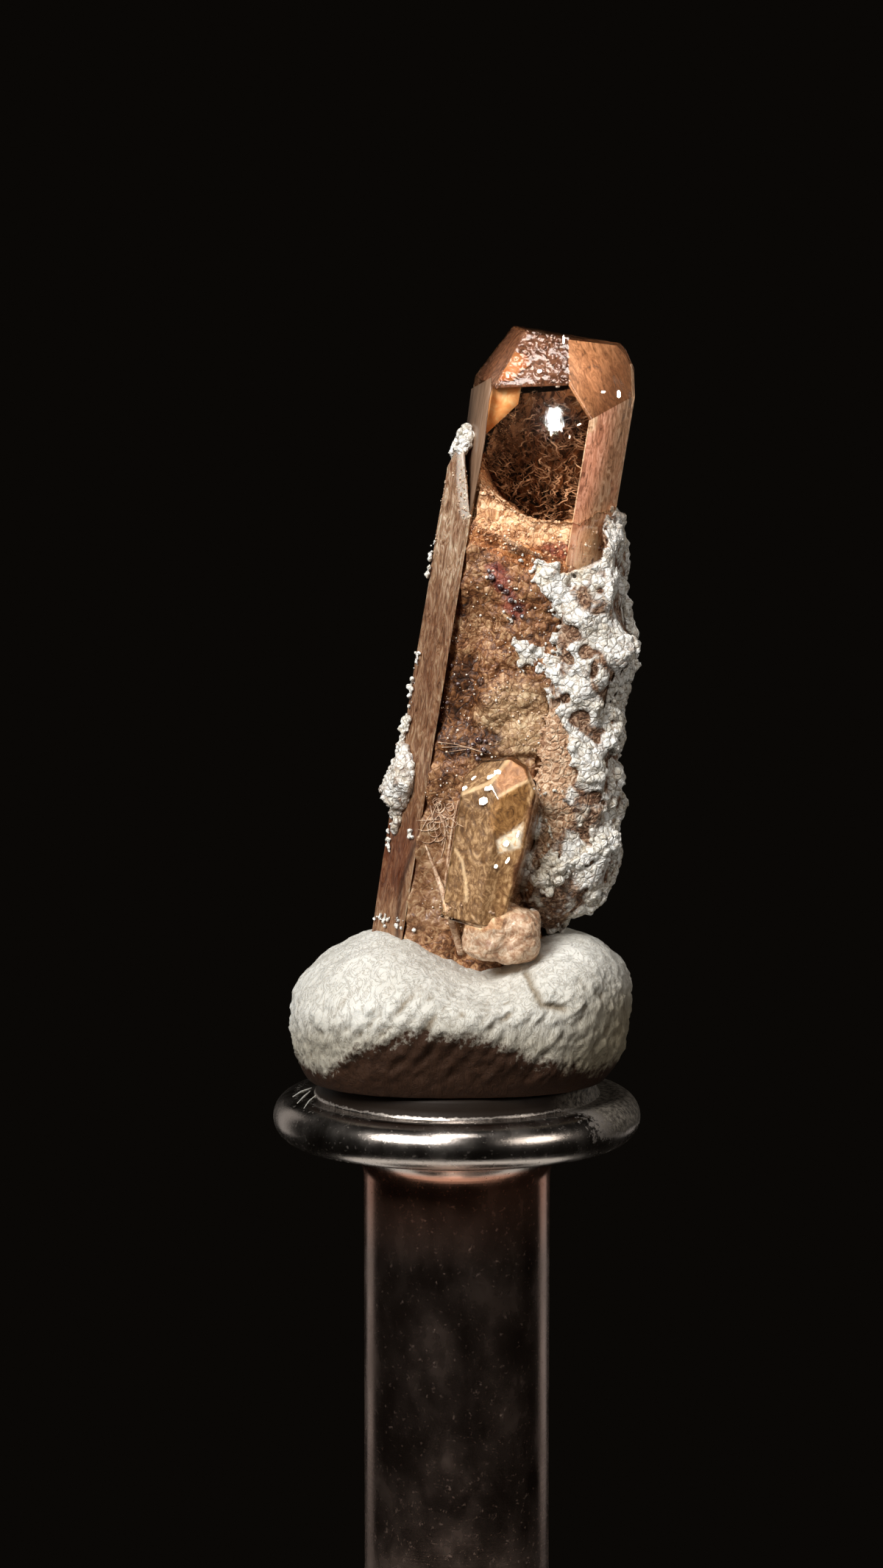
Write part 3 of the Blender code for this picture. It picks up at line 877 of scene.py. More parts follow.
def putty_clay():
    material, tree, shader = new_material("putty")
    place = millimetres(tree)
    broad = grain(tree, place, 0.5, 4.0, 0.55)
    fine = grain(tree, place, 6.0, 5.0, 0.65)
    colour = ramp(tree, broad, ((0.3, (0.62, 0.60, 0.54)), (0.7, (0.78, 0.77, 0.72))))
    pulled = grain(tree, millimetres(tree, (2.6, 2.0, 1.0), (0.0, 0.75, 0.0)), 1.0, 5.0, 0.62, 2.0)
    thin = maths(tree, "ABSOLUTE", maths(tree, "SUBTRACT", pulled, 0.5))
    thin = ramp(tree, thin, ((0.0, 1.0), (0.03, 0.0)))
    speck = ramp(tree, grain(tree, place, 2.6, 6.0, 0.8), ((0.66, 0.0), (0.74, 1.0)))
    colour = mixed(tree, maths(tree, "MULTIPLY", speck, 0.35), colour, (0.40, 0.33, 0.24))
    colour = mixed(tree, maths(tree, "MULTIPLY", thin, 0.45), colour, (0.42, 0.36, 0.27))
    # Painted shade in the putty's wrinkle troughs and creases
    colour = mixed(tree, maths(tree, "MULTIPLY", mask(tree, "hollow"), 0.85), colour, (0.25, 0.19, 0.12))
    # Painted shade: the putty's lower right and low front darkened
    colour = mixed(tree, mask(tree, "dusk"), colour, mixed(tree, 1.0, colour, (0.42, 0.37, 0.28), "MULTIPLY"))
    # Painted shade: near black on the putty's underside and low front, deepest in its hollows
    loose = maths(tree, "MULTIPLY_ADD", maths(tree, "SUBTRACT", fine, 0.5), 1.5, mask(tree, "painted_under_shade"))
    both = maths(tree, "MULTIPLY", mask(tree, "hollow"), mask(tree, "painted_under_shade"))
    loose = maths(tree, "MULTIPLY_ADD", both, 0.7, loose)
    colour = mixed(tree, ramp(tree, loose, ((0.25, 0.0), (0.72, 1.0))), colour, (0.034, 0.014, 0.006))
    height = maths(tree, "MULTIPLY_ADD", thin, -0.35, maths(tree, "MULTIPLY_ADD", pulled, 1.6, fine))
    set_shader(
        tree,
        shader,
        Base_Color=colour,
        Roughness=0.75,
        Specular_IOR_Level=0.2,
        Subsurface_Weight=0.1,
        Subsurface_Radius=(1.0, 0.8, 0.6),
        Subsurface_Scale=0.0003,
        Normal=bumped(tree, height, 0.7, 0.06),
    )
    return material


def polished_steel():
    """Turned steel with a fine grain round it, dust, a painted dark reflection on the collar under the putty,
    and a painted warm reflection, a reddish band below the flange.
    """
    material, tree, shader = new_material("polished_steel")
    rings = grain(tree, millimetres(tree, (0.05, 0.05, 9.0)), 1.0, 6.0, 0.75)
    haze = grain(tree, millimetres(tree, (0.8, 0.8, 0.5)), 1.0, 4.0, 0.6)
    sand = grain(tree, millimetres(tree), 7.0, 5.0, 0.75)
    dust = ramp(tree, sand, ((0.60, 0.0), (0.72, 1.0)))
    # Painted dark reflection: near black on the collar under the putty; on the dusty lobe the same mask gives
    # sandy dust
    painted_dark_reflection_and_dust = maths(tree, "MULTIPLY_ADD", maths(tree, "SUBTRACT", sand, 0.5), 1.4, mask(tree, "painted_dark_reflection_and_dust"))
    painted_dark_reflection_and_dust = ramp(tree, painted_dark_reflection_and_dust, ((0.2, 0.0), (0.6, 1.0)))
    sandy = ramp(tree, sand, ((0.40, (0.03, 0.024, 0.019)), (0.62, (0.26, 0.23, 0.19))))
    dark_and_sandy = mixed(tree, mask(tree, "dusty"), (0.012, 0.007, 0.004), sandy)
    steel_tone = mixed(tree, haze, (0.50, 0.44, 0.39), (0.66, 0.60, 0.55))
    steel_tone = mixed(tree, mask(tree, "brown"), steel_tone, (0.24, 0.135, 0.095))
    # Painted reflection: a reddish band below the flange, and a faint tint on all below it
    steel_tone = mixed(tree, mask(tree, "painted_copper_reflection"), steel_tone, (0.62, 0.30, 0.20))
    dull = maths(tree, "MULTIPLY_ADD", dust, 0.02, maths(tree, "MULTIPLY", mask(tree, "painted_copper_reflection"), 0.05))
    rough = ramp(tree, haze, ((0.35, 0.16), (0.7, 0.32)))
    rough = maths(tree, "ADD", rough, maths(tree, "MULTIPLY", dust, 0.25), clamp=True)
    rough = maths(tree, "ADD", rough, maths(tree, "MULTIPLY", painted_dark_reflection_and_dust, 0.35), clamp=True)
    sandy_relief = maths(tree, "MULTIPLY_ADD", mask(tree, "worn"), 1.2, 0.05)
    height = maths(tree, "MULTIPLY_ADD", sand, sandy_relief, rings)
    metallic = maths(tree, "SUBTRACT", 1.0, dull)
    metallic = maths(tree, "SUBTRACT", metallic, maths(tree, "MULTIPLY", painted_dark_reflection_and_dust, 0.75), clamp=True)
    set_shader(
        tree,
        shader,
        Base_Color=mixed(tree, painted_dark_reflection_and_dust, steel_tone, dark_and_sandy),
        Metallic=metallic,
        Roughness=rough,
        Specular_IOR_Level=0.2,
        Normal=bumped(tree, height, 0.16, 0.02),
    )
    return material


# Topaz

ETCHED_FACE = normal_of(-8, 55)
CHAMFER_FACE = normal_of(-78, 62.2)


def growth_place(points):
    """Places right of, away from and along the growth line of the main crystal."""
    off = np.asarray(points) - MAIN_POINT
    return off @ RIGHT, off @ AWAY, off @ UP


def side_reach(turn):
    reach = np.full(turn.shape, 1e9)
    for face, _, distance in MAIN_SIDES:
        facing = np.cos(turn - math.radians(face))
        reach = np.where(facing > 0.2, np.minimum(reach, distance / np.maximum(facing, 0.2)), reach)
    return reach


def clear_top():
    def longest(place, normal):
        normal = np.array(normal)
        etched = normal @ ETCHED_FACE > 0.97 or normal @ CHAMFER_FACE > 0.97
        return 0.05 if etched else 0.3

    points, faces = fine_crystal(MAIN_POINT, MAIN_SIDES + MAIN_TOPS + MAIN_CUT, 0.035, longest)
    out = normals_of(points, faces)
    etched = step(out @ ETCHED_FACE, 0.95, 0.99) + 0.7 * step(out @ CHAMFER_FACE, 0.95, 0.99)
    near, _, own = cells(points, 0.26)
    ring = np.exp(-(((near - 0.45) / 0.13) ** 2)) * (own > -0.2)
    relief = 0.009 * ring - 0.009 * np.exp(-((near / 0.28) ** 2)) + 0.005 * lumps(points, 0.16)
    window = step(-out @ AWAY, 0.90, 0.98) + 0.5 * step(out @ AWAY, 0.90, 0.98)
    return points + out * (etched * relief)[:, None], faces, {"striae": 1 - np.clip(window, 0, 1)}


BODY_BASE_Z = 21.4
BODY_RINGS = 285
BODY_SEGMENTS = 280
BODY_TOP_RINGS = 34
FRONT_DENSER = 0.6
FRACTURE_FRONT = ((-1.96, -0.98), (-1.77, -1.05), (-0.79, -1.58), (-0.04, -1.88), (2.02, -1.55))
FRACTURE_BACK = (
    (-1.9, -0.2), (-1.68, -0.4), (-1.09, -1.34), (-0.21, -1.93), (0.58, -2.03), (1.22, -1.66), (1.7, -1.0),
)


def fracture_height(right, away):
    """Height along the growth line of the break under the clear top."""
    near, far = (np.interp(right, *zip(*line)) for line in (FRACTURE_FRONT, FRACTURE_BACK))
    return near + (far - near) * np.clip((away + 1.75) / 3.5, 0, 1)


def cut_height(right, away):
    """Height along the growth line where the main crystal's smooth faces end."""
    return -(2.62 + 0.275 * right + 0.10 * away) / 0.956


def calm_place(points):
    """Where the etched body is smooth: low on the left, in front."""
    away = in_ellipse(pixel(points), (572, 1195), (66, 92))
    return (1 - step(away, 0.7, 1.1)) * (points[:, 1] < 0.2)


def etched_body():
    dense = np.linspace(0, 2 * np.pi, 4000)
    even = 2 * np.pi * np.arange(BODY_SEGMENTS) / BODY_SEGMENTS
    turn = np.interp(even, dense + FRONT_DENSER * np.sin(dense), dense)
    direction = np.sin(turn)[:, None] * RIGHT - np.cos(turn)[:, None] * AWAY
    reach = side_reach(turn)
    rim = direction * reach[:, None]
    top = fracture_height(rim @ RIGHT, rim @ AWAY)
    bottom = (BODY_BASE_Z - MAIN_POINT[2] - rim[:, 2]) / UP[2]
    rows = []
    for k in range(BODY_RINGS):
        share = k / (BODY_RINGS - 1)
        along = bottom + (top - bottom) * share
        rows.append(MAIN_POINT + rim + along[:, None] * UP)
    for k in range(1, BODY_TOP_RINGS):
        share = 1 - k / BODY_TOP_RINGS
        inner = rim * share
        along = fracture_height(inner @ RIGHT, inner @ AWAY)
        rows.append(MAIN_POINT + inner + along[:, None] * UP)
    rows = np.array(rows)
    points = rows.reshape(-1, 3)
    ring_turn = np.tile(turn, len(rows))
    outward = np.tile(direction, (len(rows), 1))
    on_side = np.repeat(np.arange(len(rows)) < BODY_RINGS, BODY_SEGMENTS)
    right, away, along = growth_place(points)
    height = points[:, 2]
    facing = np.maximum(np.cos(ring_turn), 0)
    ledge = step(height, 27.80, 27.95) * (1 - step(height, 28.75, 30.2))
    ledge = ledge * step(points[:, 0], 0.2, 0.9) * facing
    recess = step(height, 28.3, 29.2) * (1 - step(height, 31.6, 32.6))
    recess *= np.exp(-(((np.degrees(ring_turn) - 322.0) / 13.0) ** 2))
    under_glass = step(along - cut_height(right, away), -0.12, 0.10)
    near, _, own = cells(points, 0.17)
    fine_near, _, _ = cells(points, 0.085)
    calm = calm_place(points)
    sugar = (0.044 * (0.5 - near) * (1.2 + own) + 0.014 * (0.5 - fine_near)) * (1 - 0.65 * calm)
    bump = 0.17 * lumps(points, 0.85) + sugar
    shift = bump * (1 - 0.45 * under_glass) + 0.15 * ledge - 0.42 * recess - 0.16 * under_glass
    shift = np.where(on_side, shift, 0)
    upward = np.where(on_side, 0, 0.10 * lumps(points, 0.5) + 1.5 * sugar)
    points = points + outward * shift[:, None] + UP * upward[:, None]
    middle_low = MAIN_POINT + UP * (BODY_BASE_Z - MAIN_POINT[2]) / UP[2]
    middle_high = MAIN_POINT + UP * fracture_height(np.array([0.0]), np.array([0.0]))[0]
    points = np.concatenate((points, [middle_low], [middle_high]))
    faces = ring_grid(len(rows), BODY_SEGMENTS)
    front = np.concatenate((np.cos(ring_turn) > -0.05, [False, False]))
    under_glass, on_top = np.concatenate((under_glass, [0, 1])), np.concatenate((~on_side, [False, True]))
    return points, faces, front, under_glass, on_top


RECESS_SEEN = (
    (608, 888), (650, 890), (656, 912), (661, 934), (644, 968), (647, 984), (682, 1000), (684, 1022),
    (655, 1032), (600, 1036), (585, 1036),
)
CREAM_SEEN = ((636, 668), (690, 690), (728, 706), (834, 706), (834, 738), (760, 742), (700, 735), (645, 712))
AMBER_SEEN = ((668, 740), (745, 760), (795, 870), (770, 885), (700, 850), (660, 790))
BROWN_SEEN = ((722, 790), (738, 800), (765, 840), (782, 880), (755, 888), (720, 870), (712, 830))


def body_masks(points, front, under_glass, on_top):
    seen = pixel(points)
    wander = 9.0 * np.stack((lumps(points, 0.35), lumps(points + 40.0, 0.35)), 1)
    loose = seen + wander
    rough = 0.5 + 0.5 * lumps(points, 0.25)
    slight = seen + 0.35 * wander
    # dark: painted shade in the recesses, and darker brown patches
    dark = within(slight, ((624, 806), (637, 811), (636, 838), (620, 843)), 3)
    dark = np.maximum(dark, within(slight, RECESS_SEEN, 4) * (0.68 + 0.32 * step(rough, 0.1, 0.7)))
    dark = np.maximum(dark, spot(slight, (655, 1008), (22, 14), 0.6, 1.1))
    dark = np.maximum(dark, 0.7 * spot(loose, (600, 1075), (18, 55), 0.6, 1.2) * step(rough, 0.2, 0.7))
    dark = np.maximum(dark, 0.8 * spot(seen, (690, 1092), (24, 26), 0.7, 1.2))
    red = stroke(loose, ((672, 775), (684, 800), (702, 832)), 5, 17)
    red = np.maximum(red, 0.8 * spot(loose, (768, 746), (36, 11), 0.6, 1.3))
    yellow = 0.85 * spot(loose, (708, 982), (66, 62), 0.5, 1.15)
    cream = within(slight, CREAM_SEEN, 7) * (0.55 + 0.45 * step(rough, 0.2, 0.7))
    amber = 0.9 * within(loose, AMBER_SEEN, 14)
    cream = np.maximum(cream, 0.75 * under_glass * on_top)
    rosy = 0.9 * spot(loose, (572, 1192), (62, 88), 0.7, 1.15)
    brown = 0.7 * within(loose, BROWN_SEEN, 8)
    dark = np.maximum(dark, brown * step(rough, 0.1, 0.7))
    tan = 0.9 * spot(loose, (755, 1100), (30, 36), 0.7, 1.2)
    pale = np.zeros(len(points))
    front = front.astype(float)
    out = {"dark": dark, "red": red, "yellow": yellow, "rosy": rosy, "pale": pale, "tan": tan, "amber": amber}
    out = {key: value * front for key, value in out.items()}
    out["cream"] = np.clip(cream * front + 0.6 * on_top, 0, 1)
    near, second, _ = cells(points, 0.17)
    out["hollow"] = 0.22 * (1 - step(second - near, 0.03, 0.12))
    out["smooth"] = calm_place(points)
    return out


def side_prism():
    points, faces = fine_crystal(SIDE_POINT, SIDE_FACES, 0.05, lambda place, normal: 0.16)
    out = normals_of(points, faces)
    right, away, along = growth_place(points)
    stretched = np.stack((right, away, along * 0.09), 1)
    points = points + out * (0.022 * lumps(stretched, 0.16, 3))[:, None]
    seen = pixel(points)
    right_of = seen[:, 0] - np.interp(seen[:, 1], (1118, 1132, 1150, 1200, 1245), (582, 574, 563, 546, 540))
    low = step(seen[:, 1], 1112, 1135)
    rosy = step(seen[:, 1], 1085, 1150) * (1 - step(right_of, -4, 4) * low)
    tan = np.maximum(step(right_of, -2, 6) * low, 0.75 * step(seen[:, 1], 1190, 1245))
    dark = 0.8 * np.exp(-((right_of / 3.0) ** 2)) * low
    pale = 0.8 * stroke(seen, ((628, 600), (626, 650), (632, 700)), 3, 8)
    # Painted shade from about the middle of the prism down
    dusk = step(seen[:, 1], 730, 860)
    return points, faces, {"rosy": rosy, "pale": pale, "dusk": dusk, "tan": tan, "dark": dark}


# In millimetres
VEIL_INSET = 0.12
VEIL_THICK = 0.03


def veil(point, faces, chosen, inset):
    """A thin cloudy sheet of growth just under one face of a crystal."""
    bm = crystal(point, [(turn, lean, distance - inset) for turn, lean, distance in faces])
    wanted = Vector(normal_of(*chosen))
    kept = max(bm.faces, key=lambda f: f.normal.dot(wanted))
    bmesh.ops.delete(bm, geom=[f for f in bm.faces if f is not kept], context="FACES")
    made = bmesh.ops.extrude_face_region(bm, geom=bm.faces[:])
    moved = [v for v in made["geom"] if isinstance(v, bmesh.types.BMVert)]
    bmesh.ops.translate(bm, verts=moved, vec=wanted * -VEIL_THICK)
    bmesh.ops.recalc_face_normals(bm, faces=bm.faces)
    bm = settled(bm)
    bmesh.ops.triangulate(bm, faces=bm.faces)
    return points_and_triangles(bm)


def slab(corners, thick):
    """A thin closed plate on flat corners in millimetres."""
    corners = np.asarray(corners, float)
    count = len(corners)
    middle = corners.mean(0)
    across = np.cross(corners[1] - corners[0], corners[2] - corners[0])
    across /= np.linalg.norm(across)
    points = np.concatenate((corners, corners + across * thick, [middle], [middle + across * thick]))
    faces = []
    for i in range(count):
        j = (i + 1) % count
        faces += [[j, i, 2 * count], [count + i, count + j, 2 * count + 1]]
        faces += [[i, j, count + j], [i, count + j, count + i]]
    return points, np.array(faces)


def inner_glow_plate(corners, depth):
    """A plate at one depth inside a crystal, seen at those pixels of the photograph."""
    return slab([seen_at(x, y, depth) for x, y in corners], 0.02)


def glint(place, wide, high, turn=0.0):
    """A tiny bright plate, put in as a highlight, that faces halfway between the camera and the key light so
    that it reflects the key.
    """
    view, key = CAMERA_AT - place, np.array(KEY_PLACE) - place
    half = view / np.linalg.norm(view) + key / np.linalg.norm(key)
    half /= np.linalg.norm(half)
    side = np.cross((0, 0, 1.0), half)
    side /= np.linalg.norm(side)
    over = np.cross(half, side)
    side, over = side * math.cos(turn) + over * math.sin(turn), over * math.cos(turn) - side * math.sin(turn)
    ring = [(-0.5, -0.3), (-0.1, -0.5), (0.45, -0.35), (0.5, 0.2), (0.1, 0.5), (-0.4, 0.35)]
    return slab([place + (side * u * wide + over * v * high) for u, v in ring], 0.012)


def wisps(count):
    """Fine wavy growth threads near the back of the clear window."""
    parts = []
    for _ in range(count):
        right, away = RANDOM.uniform(-1.5, 1.45), RANDOM.uniform(0.2, 1.62)
        low = fracture_height(np.array([right]), np.array([away]))[0]
        start = RANDOM.uniform(low, 1.3)
        length = RANDOM.uniform(0.08, 0.42)
        along = np.linspace(0, 1, 9)
        side = 0.10 * np.cumsum(RANDOM.normal(size=9)) / 2 + RANDOM.normal() * 0.16 * along
        path = (
            MAIN_POINT
            + np.outer(right + side, RIGHT)
            + np.outer(away + 0.02 * RANDOM.normal(size=9), AWAY)
            + np.outer(start + length * along, UP)
        )
        parts.append(tube(path, RANDOM.uniform(0.009, 0.024) * np.sin(np.pi * (0.08 + 0.84 * along)), 4))
    return joined(parts)


def small_crystal():
    return fine_crystal(FRONT_POINT, FRONT_FACES, 0.04, lambda place, normal: 0.3)


CORE_INSET = 0.07
CORE_MARKS = {
    "orange": ((695, 1027), (714, 1037), (719, 1059), (702, 1068), (678, 1080), (672, 1068), (680, 1050)),
    "deep": (
        *((677, 1083), (702, 1070), (718, 1062), (716, 1100)),
        *((706, 1121), (673, 1136), (664, 1118), (668, 1095)),
    ),
    # window: a bright patch painted where light shows through
    "window": ((675, 1143), (711, 1119), (706, 1152), (678, 1160)),
    "ruddy": (
        *((716, 1100), (732, 1066), (734, 1140), (716, 1172)),
        *((708, 1226), (692, 1228), (697, 1180), (712, 1150)),
    ),
}
CORE_LINES = (
    ((620, 1155), (629, 1170), (634, 1200), (635, 1225)),
    ((678, 1083), (702, 1069), (719, 1061)),
    ((724, 1150), (711, 1166), (704, 1188)),
    ((614, 1140), (607, 1170), (602, 1205)),
    ((625, 1082), (645, 1074), (666, 1066)),
    ((697, 1028), (682, 1046), (667, 1066)),
)


def small_core():
    """The cloudy inside of the small crystal, and where its facets show their tones."""
    inner = [(turn, lean, distance - CORE_INSET) for turn, lean, distance in FRONT_FACES]
    points, faces = fine_crystal(FRONT_POINT, inner, 0.03, lambda place, normal: 0.075)
    points = points + normals_of(points, faces) * (0.012 * lumps(points, 0.25))[:, None]
    seen = pixel(points)
    front = (points[:, 1] < -1.9).astype(float)
    masks = {key: within(seen, corners, 2.5) * front for key, corners in CORE_MARKS.items()}
    masks["ruddy"] = within(seen, CORE_MARKS["ruddy"], 2.5) * (points[:, 1] < -1.0)
    # Painted light: the right part lighter, as if lit more
    masks["lit"] = step(seen[:, 0] + 0.16 * (seen[:, 1] - 1100), 676, 712) * front
    lines = np.max([stroke(seen, line, 0.8, 3.0) for line in CORE_LINES], axis=0)
    masks["pale"] = lines * front * 0.5
    return points, faces, masks


STUMP_CREASE = ((640, 1280), (665, 1286), (695, 1290), (722, 1272))
STUMP_CENTRE = np.array((1.19, -1.78, 23.16))
STUMP_HALF = np.array((1.00, 0.95, 0.74))


def stump():
    """The knob of topaz below the small crystal: a rounded block with chips."""
    unit, faces = unit_ball(6)
    unit = unit * (np.abs(unit) ** 4.0).sum(1, keepdims=True) ** -0.25
    points = STUMP_CENTRE + (unit * STUMP_HALF) @ np.stack((RIGHT, AWAY, UP))
    out = unit @ np.stack((RIGHT, AWAY, UP))
    out /= np.linalg.norm(out, axis=1, keepdims=True)
    near, second, own = cells(points, 0.32)
    chips = 0.022 * own * step(second - near, 0.0, 0.12)
    points = points + out * (0.13 * lumps(points, 0.8) + chips + 0.012 * lumps(points, 0.12))[:, None]
    return points, faces


# Rock crust, putty and stand


def grown(spots, out, small, large, sunk, pattern):
    """Pebbles on a surface. pattern gives how high they lie and how many stay, sunk the share under it."""
    rise, keep = pattern(spots, out)
    chosen = RANDOM.uniform(size=len(spots)) < keep
    spots, out, rise = spots[chosen], out[chosen], rise[chosen]
    radii = small + (large - small) * RANDOM.uniform(size=len(spots)) ** 2.2
    return pebbles(spots + out * (rise - sunk * radii)[:, None], radii)


def seen_grains(trees, polygons, count, small, large, pattern):
    """Pebbles on the first surface that shows at random pixels of some polygons of the photograph."""
    corners = np.concatenate([np.asarray(p, float) for p in polygons])
    tries = RANDOM.uniform(corners.min(0), corners.max(0), (count, 2))
    edge = 5.0 * RANDOM.normal(size=(count, 2))
    inside = np.max([within(tries + edge, p, 1.0) for p in polygons], axis=0) > 0.5
    found = [first_seen(x, y, trees) for x, y in tries[inside]]
    spots, out = zip(*[pair for pair in found if pair[0] is not None])
    return grown(np.array(spots), np.array(out), small, large, 0.3, pattern)


def core_of(node_name, shrink):
    """A CAD node's surface moved inward."""
    points, faces = arrays_of(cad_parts[node_name].data)
    merged, inverse = np.unique(np.round(points, 4), axis=0, return_inverse=True)
    faces = inverse.reshape(-1)[faces]
    return merged - normals_of(merged, faces) * shrink, faces


def tucked(points):
    """Crust moved in behind the topaz where the photograph shows topaz."""
    seen = pixel(points)
    share = within(seen, CLEAR_OF_CRUST, 4)
    for k in np.flatnonzero(share > 0.02):
        place, _ = seen_on(body_tree, *seen[k])
        if place is not None and points[k, 1] < place[1] + 0.15:
            points[k] += share[k] * (place + 0.15 * AWAY - points[k])
    return points


# Where the crust's outer edge shows: row, column, and how far out it is modelled there
CRUST_EDGE = (
    (690, 843, 845), (705, 846, 853), (720, 849, 863), (735, 859, 873), (750, 858, 876), (780, 854, 873),
    (810, 855, 874), (825, 856, 878), (840, 860, 877), (855, 866, 876), (870, 872, 874), (885, 875, 873),
    (900, 872, 873), (915, 863, 874), (930, 857, 872), (945, 852, 868), (960, 852, 862), (990, 850, 858),
    (1020, 847, 852), (1050, 849, 850), (1080, 852, 846), (1095, 854, 846), (1110, 848, 847), (1125, 842, 848),
    (1155, 844, 845), (1200, 838, 845), (1230, 813, 825), (1245, 790, 801),
)


def drawn_in(points):
    """Crust moved across so that its outer edge shows where it does in the photograph."""
    seen = pixel(points)
    rows, wanted, present = zip(*CRUST_EDGE)
    shift = np.interp(seen[:, 1], rows, np.subtract(wanted, present))
    edge = np.interp(seen[:, 1], rows, present)
    points[:, 0] += shift * step(seen[:, 0], edge - 55, edge - 8) * PX
    return points


def skinned(name, parts, voxel, core_tree=None):
    """Grains grown to one skin with fine relief, and where its brown hollows and seams are, with painted shade
    in the deepest hollows.
    """
    points, faces = fused(name, parts, voxel)
    bare = np.zeros(len(points))
    if core_tree is not None:
        lift = np.array([core_tree.find_nearest(Vector(p))[3] for p in points])
        bare = 1 - step(lift, 0.01, 0.08)
        even = smoothed(points, faces, 16)
        points = points + (1 - step(lift, 0.06, 0.14))[:, None] * (even - points)
    leaning = np.stack((points @ RIDGE_ALONG * 0.65, points[:, 1] * 0.8, points @ RIDGE_ACROSS), 1)
    near, second, own = cells(leaning, 0.19)
    gap = (1 - step(second - near, 0.02, 0.11)) * (0.42 + 0.42 * own)
    # Painted shade: the deepest hollows darkened
    deep = step(hollowness(points, faces, 14), 0.015, 0.06)
    relief = 0.018 * lumps(points, 0.10) + 0.045 * bare * lumps(points, 0.28) + 0.038 * (0.5 - near)
    points = points + normals_of(points, faces) * relief[:, None]
    return tucked(points), faces, np.clip(np.max((bare, gap, 0.85 * deep), axis=0), 0, 1)


def pebbled(node_name, count, small, large, voxel, pattern, shrink=0.14, with_core=True):
    """The crust of a CAD node with pebbles grown over it. pattern gives how high and how thick they lie."""
    points, faces = arrays_of(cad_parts[node_name].data)
    grains = grown(*scattered(points, faces, count), small, large, 0.35, pattern)
    core = core_of(node_name, shrink)
    parts = [core, grains] if with_core else [grains]
    return skinned(node_name + "_skin", parts, voxel, tree_of(*core) if with_core else None)


CLEAR_OF_CRUST = ((760, 660), (827, 660), (829, 756), (800, 770), (762, 778))
RIDGE_ALONG = np.array((0.68, 0.0, -0.73))
RIDGE_ACROSS = np.array((0.73, 0.0, 0.68))


CRUST_SEEN = (
    (
        (715, 758), (745, 772), (785, 764), (828, 756), (833, 690), (900, 690), (900, 1262), (775, 1254),
        (735, 1246), (724, 1222), (728, 1190), (742, 1160), (757, 1137), (779, 1118), (776, 1092), (768, 1078),
        (786, 1060), (790, 1040), (770, 1005), (765, 975), (756, 935), (765, 915), (785, 905), (775, 880),
        (782, 868), (770, 845), (755, 815), (735, 790),
    ),
    (
        (698, 868), (712, 876), (735, 885), (755, 890), (768, 905), (785, 925), (790, 950), (770, 960),
        (755, 925), (730, 905), (708, 892),
    ),
)
CRUST_HOLLOWS = (
    ((782, 862), (9, 14)), ((796, 888), (11, 12)), ((806, 915), (8, 18)), ((787, 974), (16, 15)),
    ((770, 950), (7, 12)), ((812, 1006), (10, 7)), ((806, 1082), (10, 8)), ((795, 1128), (8, 20)),
    ((800, 1170), (14, 8)), ((745, 1188), (8, 6)), ((818, 803), (12, 6)), ((795, 800), (8, 5)),
)


EARTH_SEEN = (
    (730, 1068), (778, 1064), (786, 1100), (775, 1132), (750, 1140), (735, 1200), (715, 1230), (715, 1100),
)


BARE_SEEN = ((715, 960), (766, 960), (776, 1005), (790, 1045), (766, 1078), (715, 1078))
COVERED_SEEN = (
    (728, 1192), (742, 1152), (757, 1137), (786, 1122), (782, 1085), (790, 1050), (810, 1036), (846, 1050),
    (846, 1140), (812, 1150), (802, 1215), (776, 1252), (738, 1246),
)


def earthy(points):
    """Where bare crust in front is tan."""
    return within(pixel(points), EARTH_SEEN, 5) * (points[:, 1] < 0.6)


def bare_beside(points):
    """Where the crust that meets the topaz is bare and tan."""
    return within(pixel(points), BARE_SEEN, 5) * (points[:, 1] < 1.6)


def ridged(spots):
    stretched = np.stack((spots @ RIDGE_ALONG * 0.38, spots[:, 1] * 0.6, spots @ RIDGE_ACROSS), 1)
    return lumps(stretched, 0.62, 3) + 0.35 * lumps(spots, 0.35, 2)


def crust_pattern(spots, out):
    """The crust's own surface, apart from the side that faces the camera."""
    high = np.clip(ridged(spots), -1, 1.2)
    return 0.01 + 0.17 * np.clip(high, -0.4, 1.0), np.where(out[:, 1] < -0.25, 0.0, step(high, -0.6, -0.15))


def front_pattern(spots, out):
    """What the camera sees of the crust: thick ridges down to the right, and brown hollows between."""
    seen = pixel(spots)
    rim = step(seen[:, 0], 815, 850)
    high = np.clip(ridged(spots) + 0.4 * rim, -1, 1.2)
    bare = np.max([spot(seen, *hollow, 0.6, 1.15) for hollow in CRUST_HOLLOWS], axis=0)
    keep = np.maximum(step(high, -1.0, -0.5), within(seen, COVERED_SEEN, 5))
    return 0.01 + 0.19 * np.clip(high, -0.3, 1.0), keep * (1 - bare)


PATCH_SEEN = (
    (557, 972), (561, 984), (563, 1008), (556, 1022), (562, 1030), (566, 1050), (565, 1085), (561, 1106),
    (546, 1108), (541, 1120), (536, 1150), (531, 1154), (532, 1130), (536, 1116), (533, 1100), (521, 1090),
    (520, 1068), (530, 1054), (538, 1040), (546, 1012), (550, 988),
)
CAP_SEEN = ((642, 574), (630, 576), (621, 600), (614, 622), (611, 638), (616, 636), (626, 624), (636, 600))


PATCH_EDGE_ROWS = (700, 970, 990, 1030, 1050, 1070, 1084, 1096, 1112, 1150)
PATCH_EDGE = (560, 553, 545, 534, 524, 517, 516, 529, 531, 526)


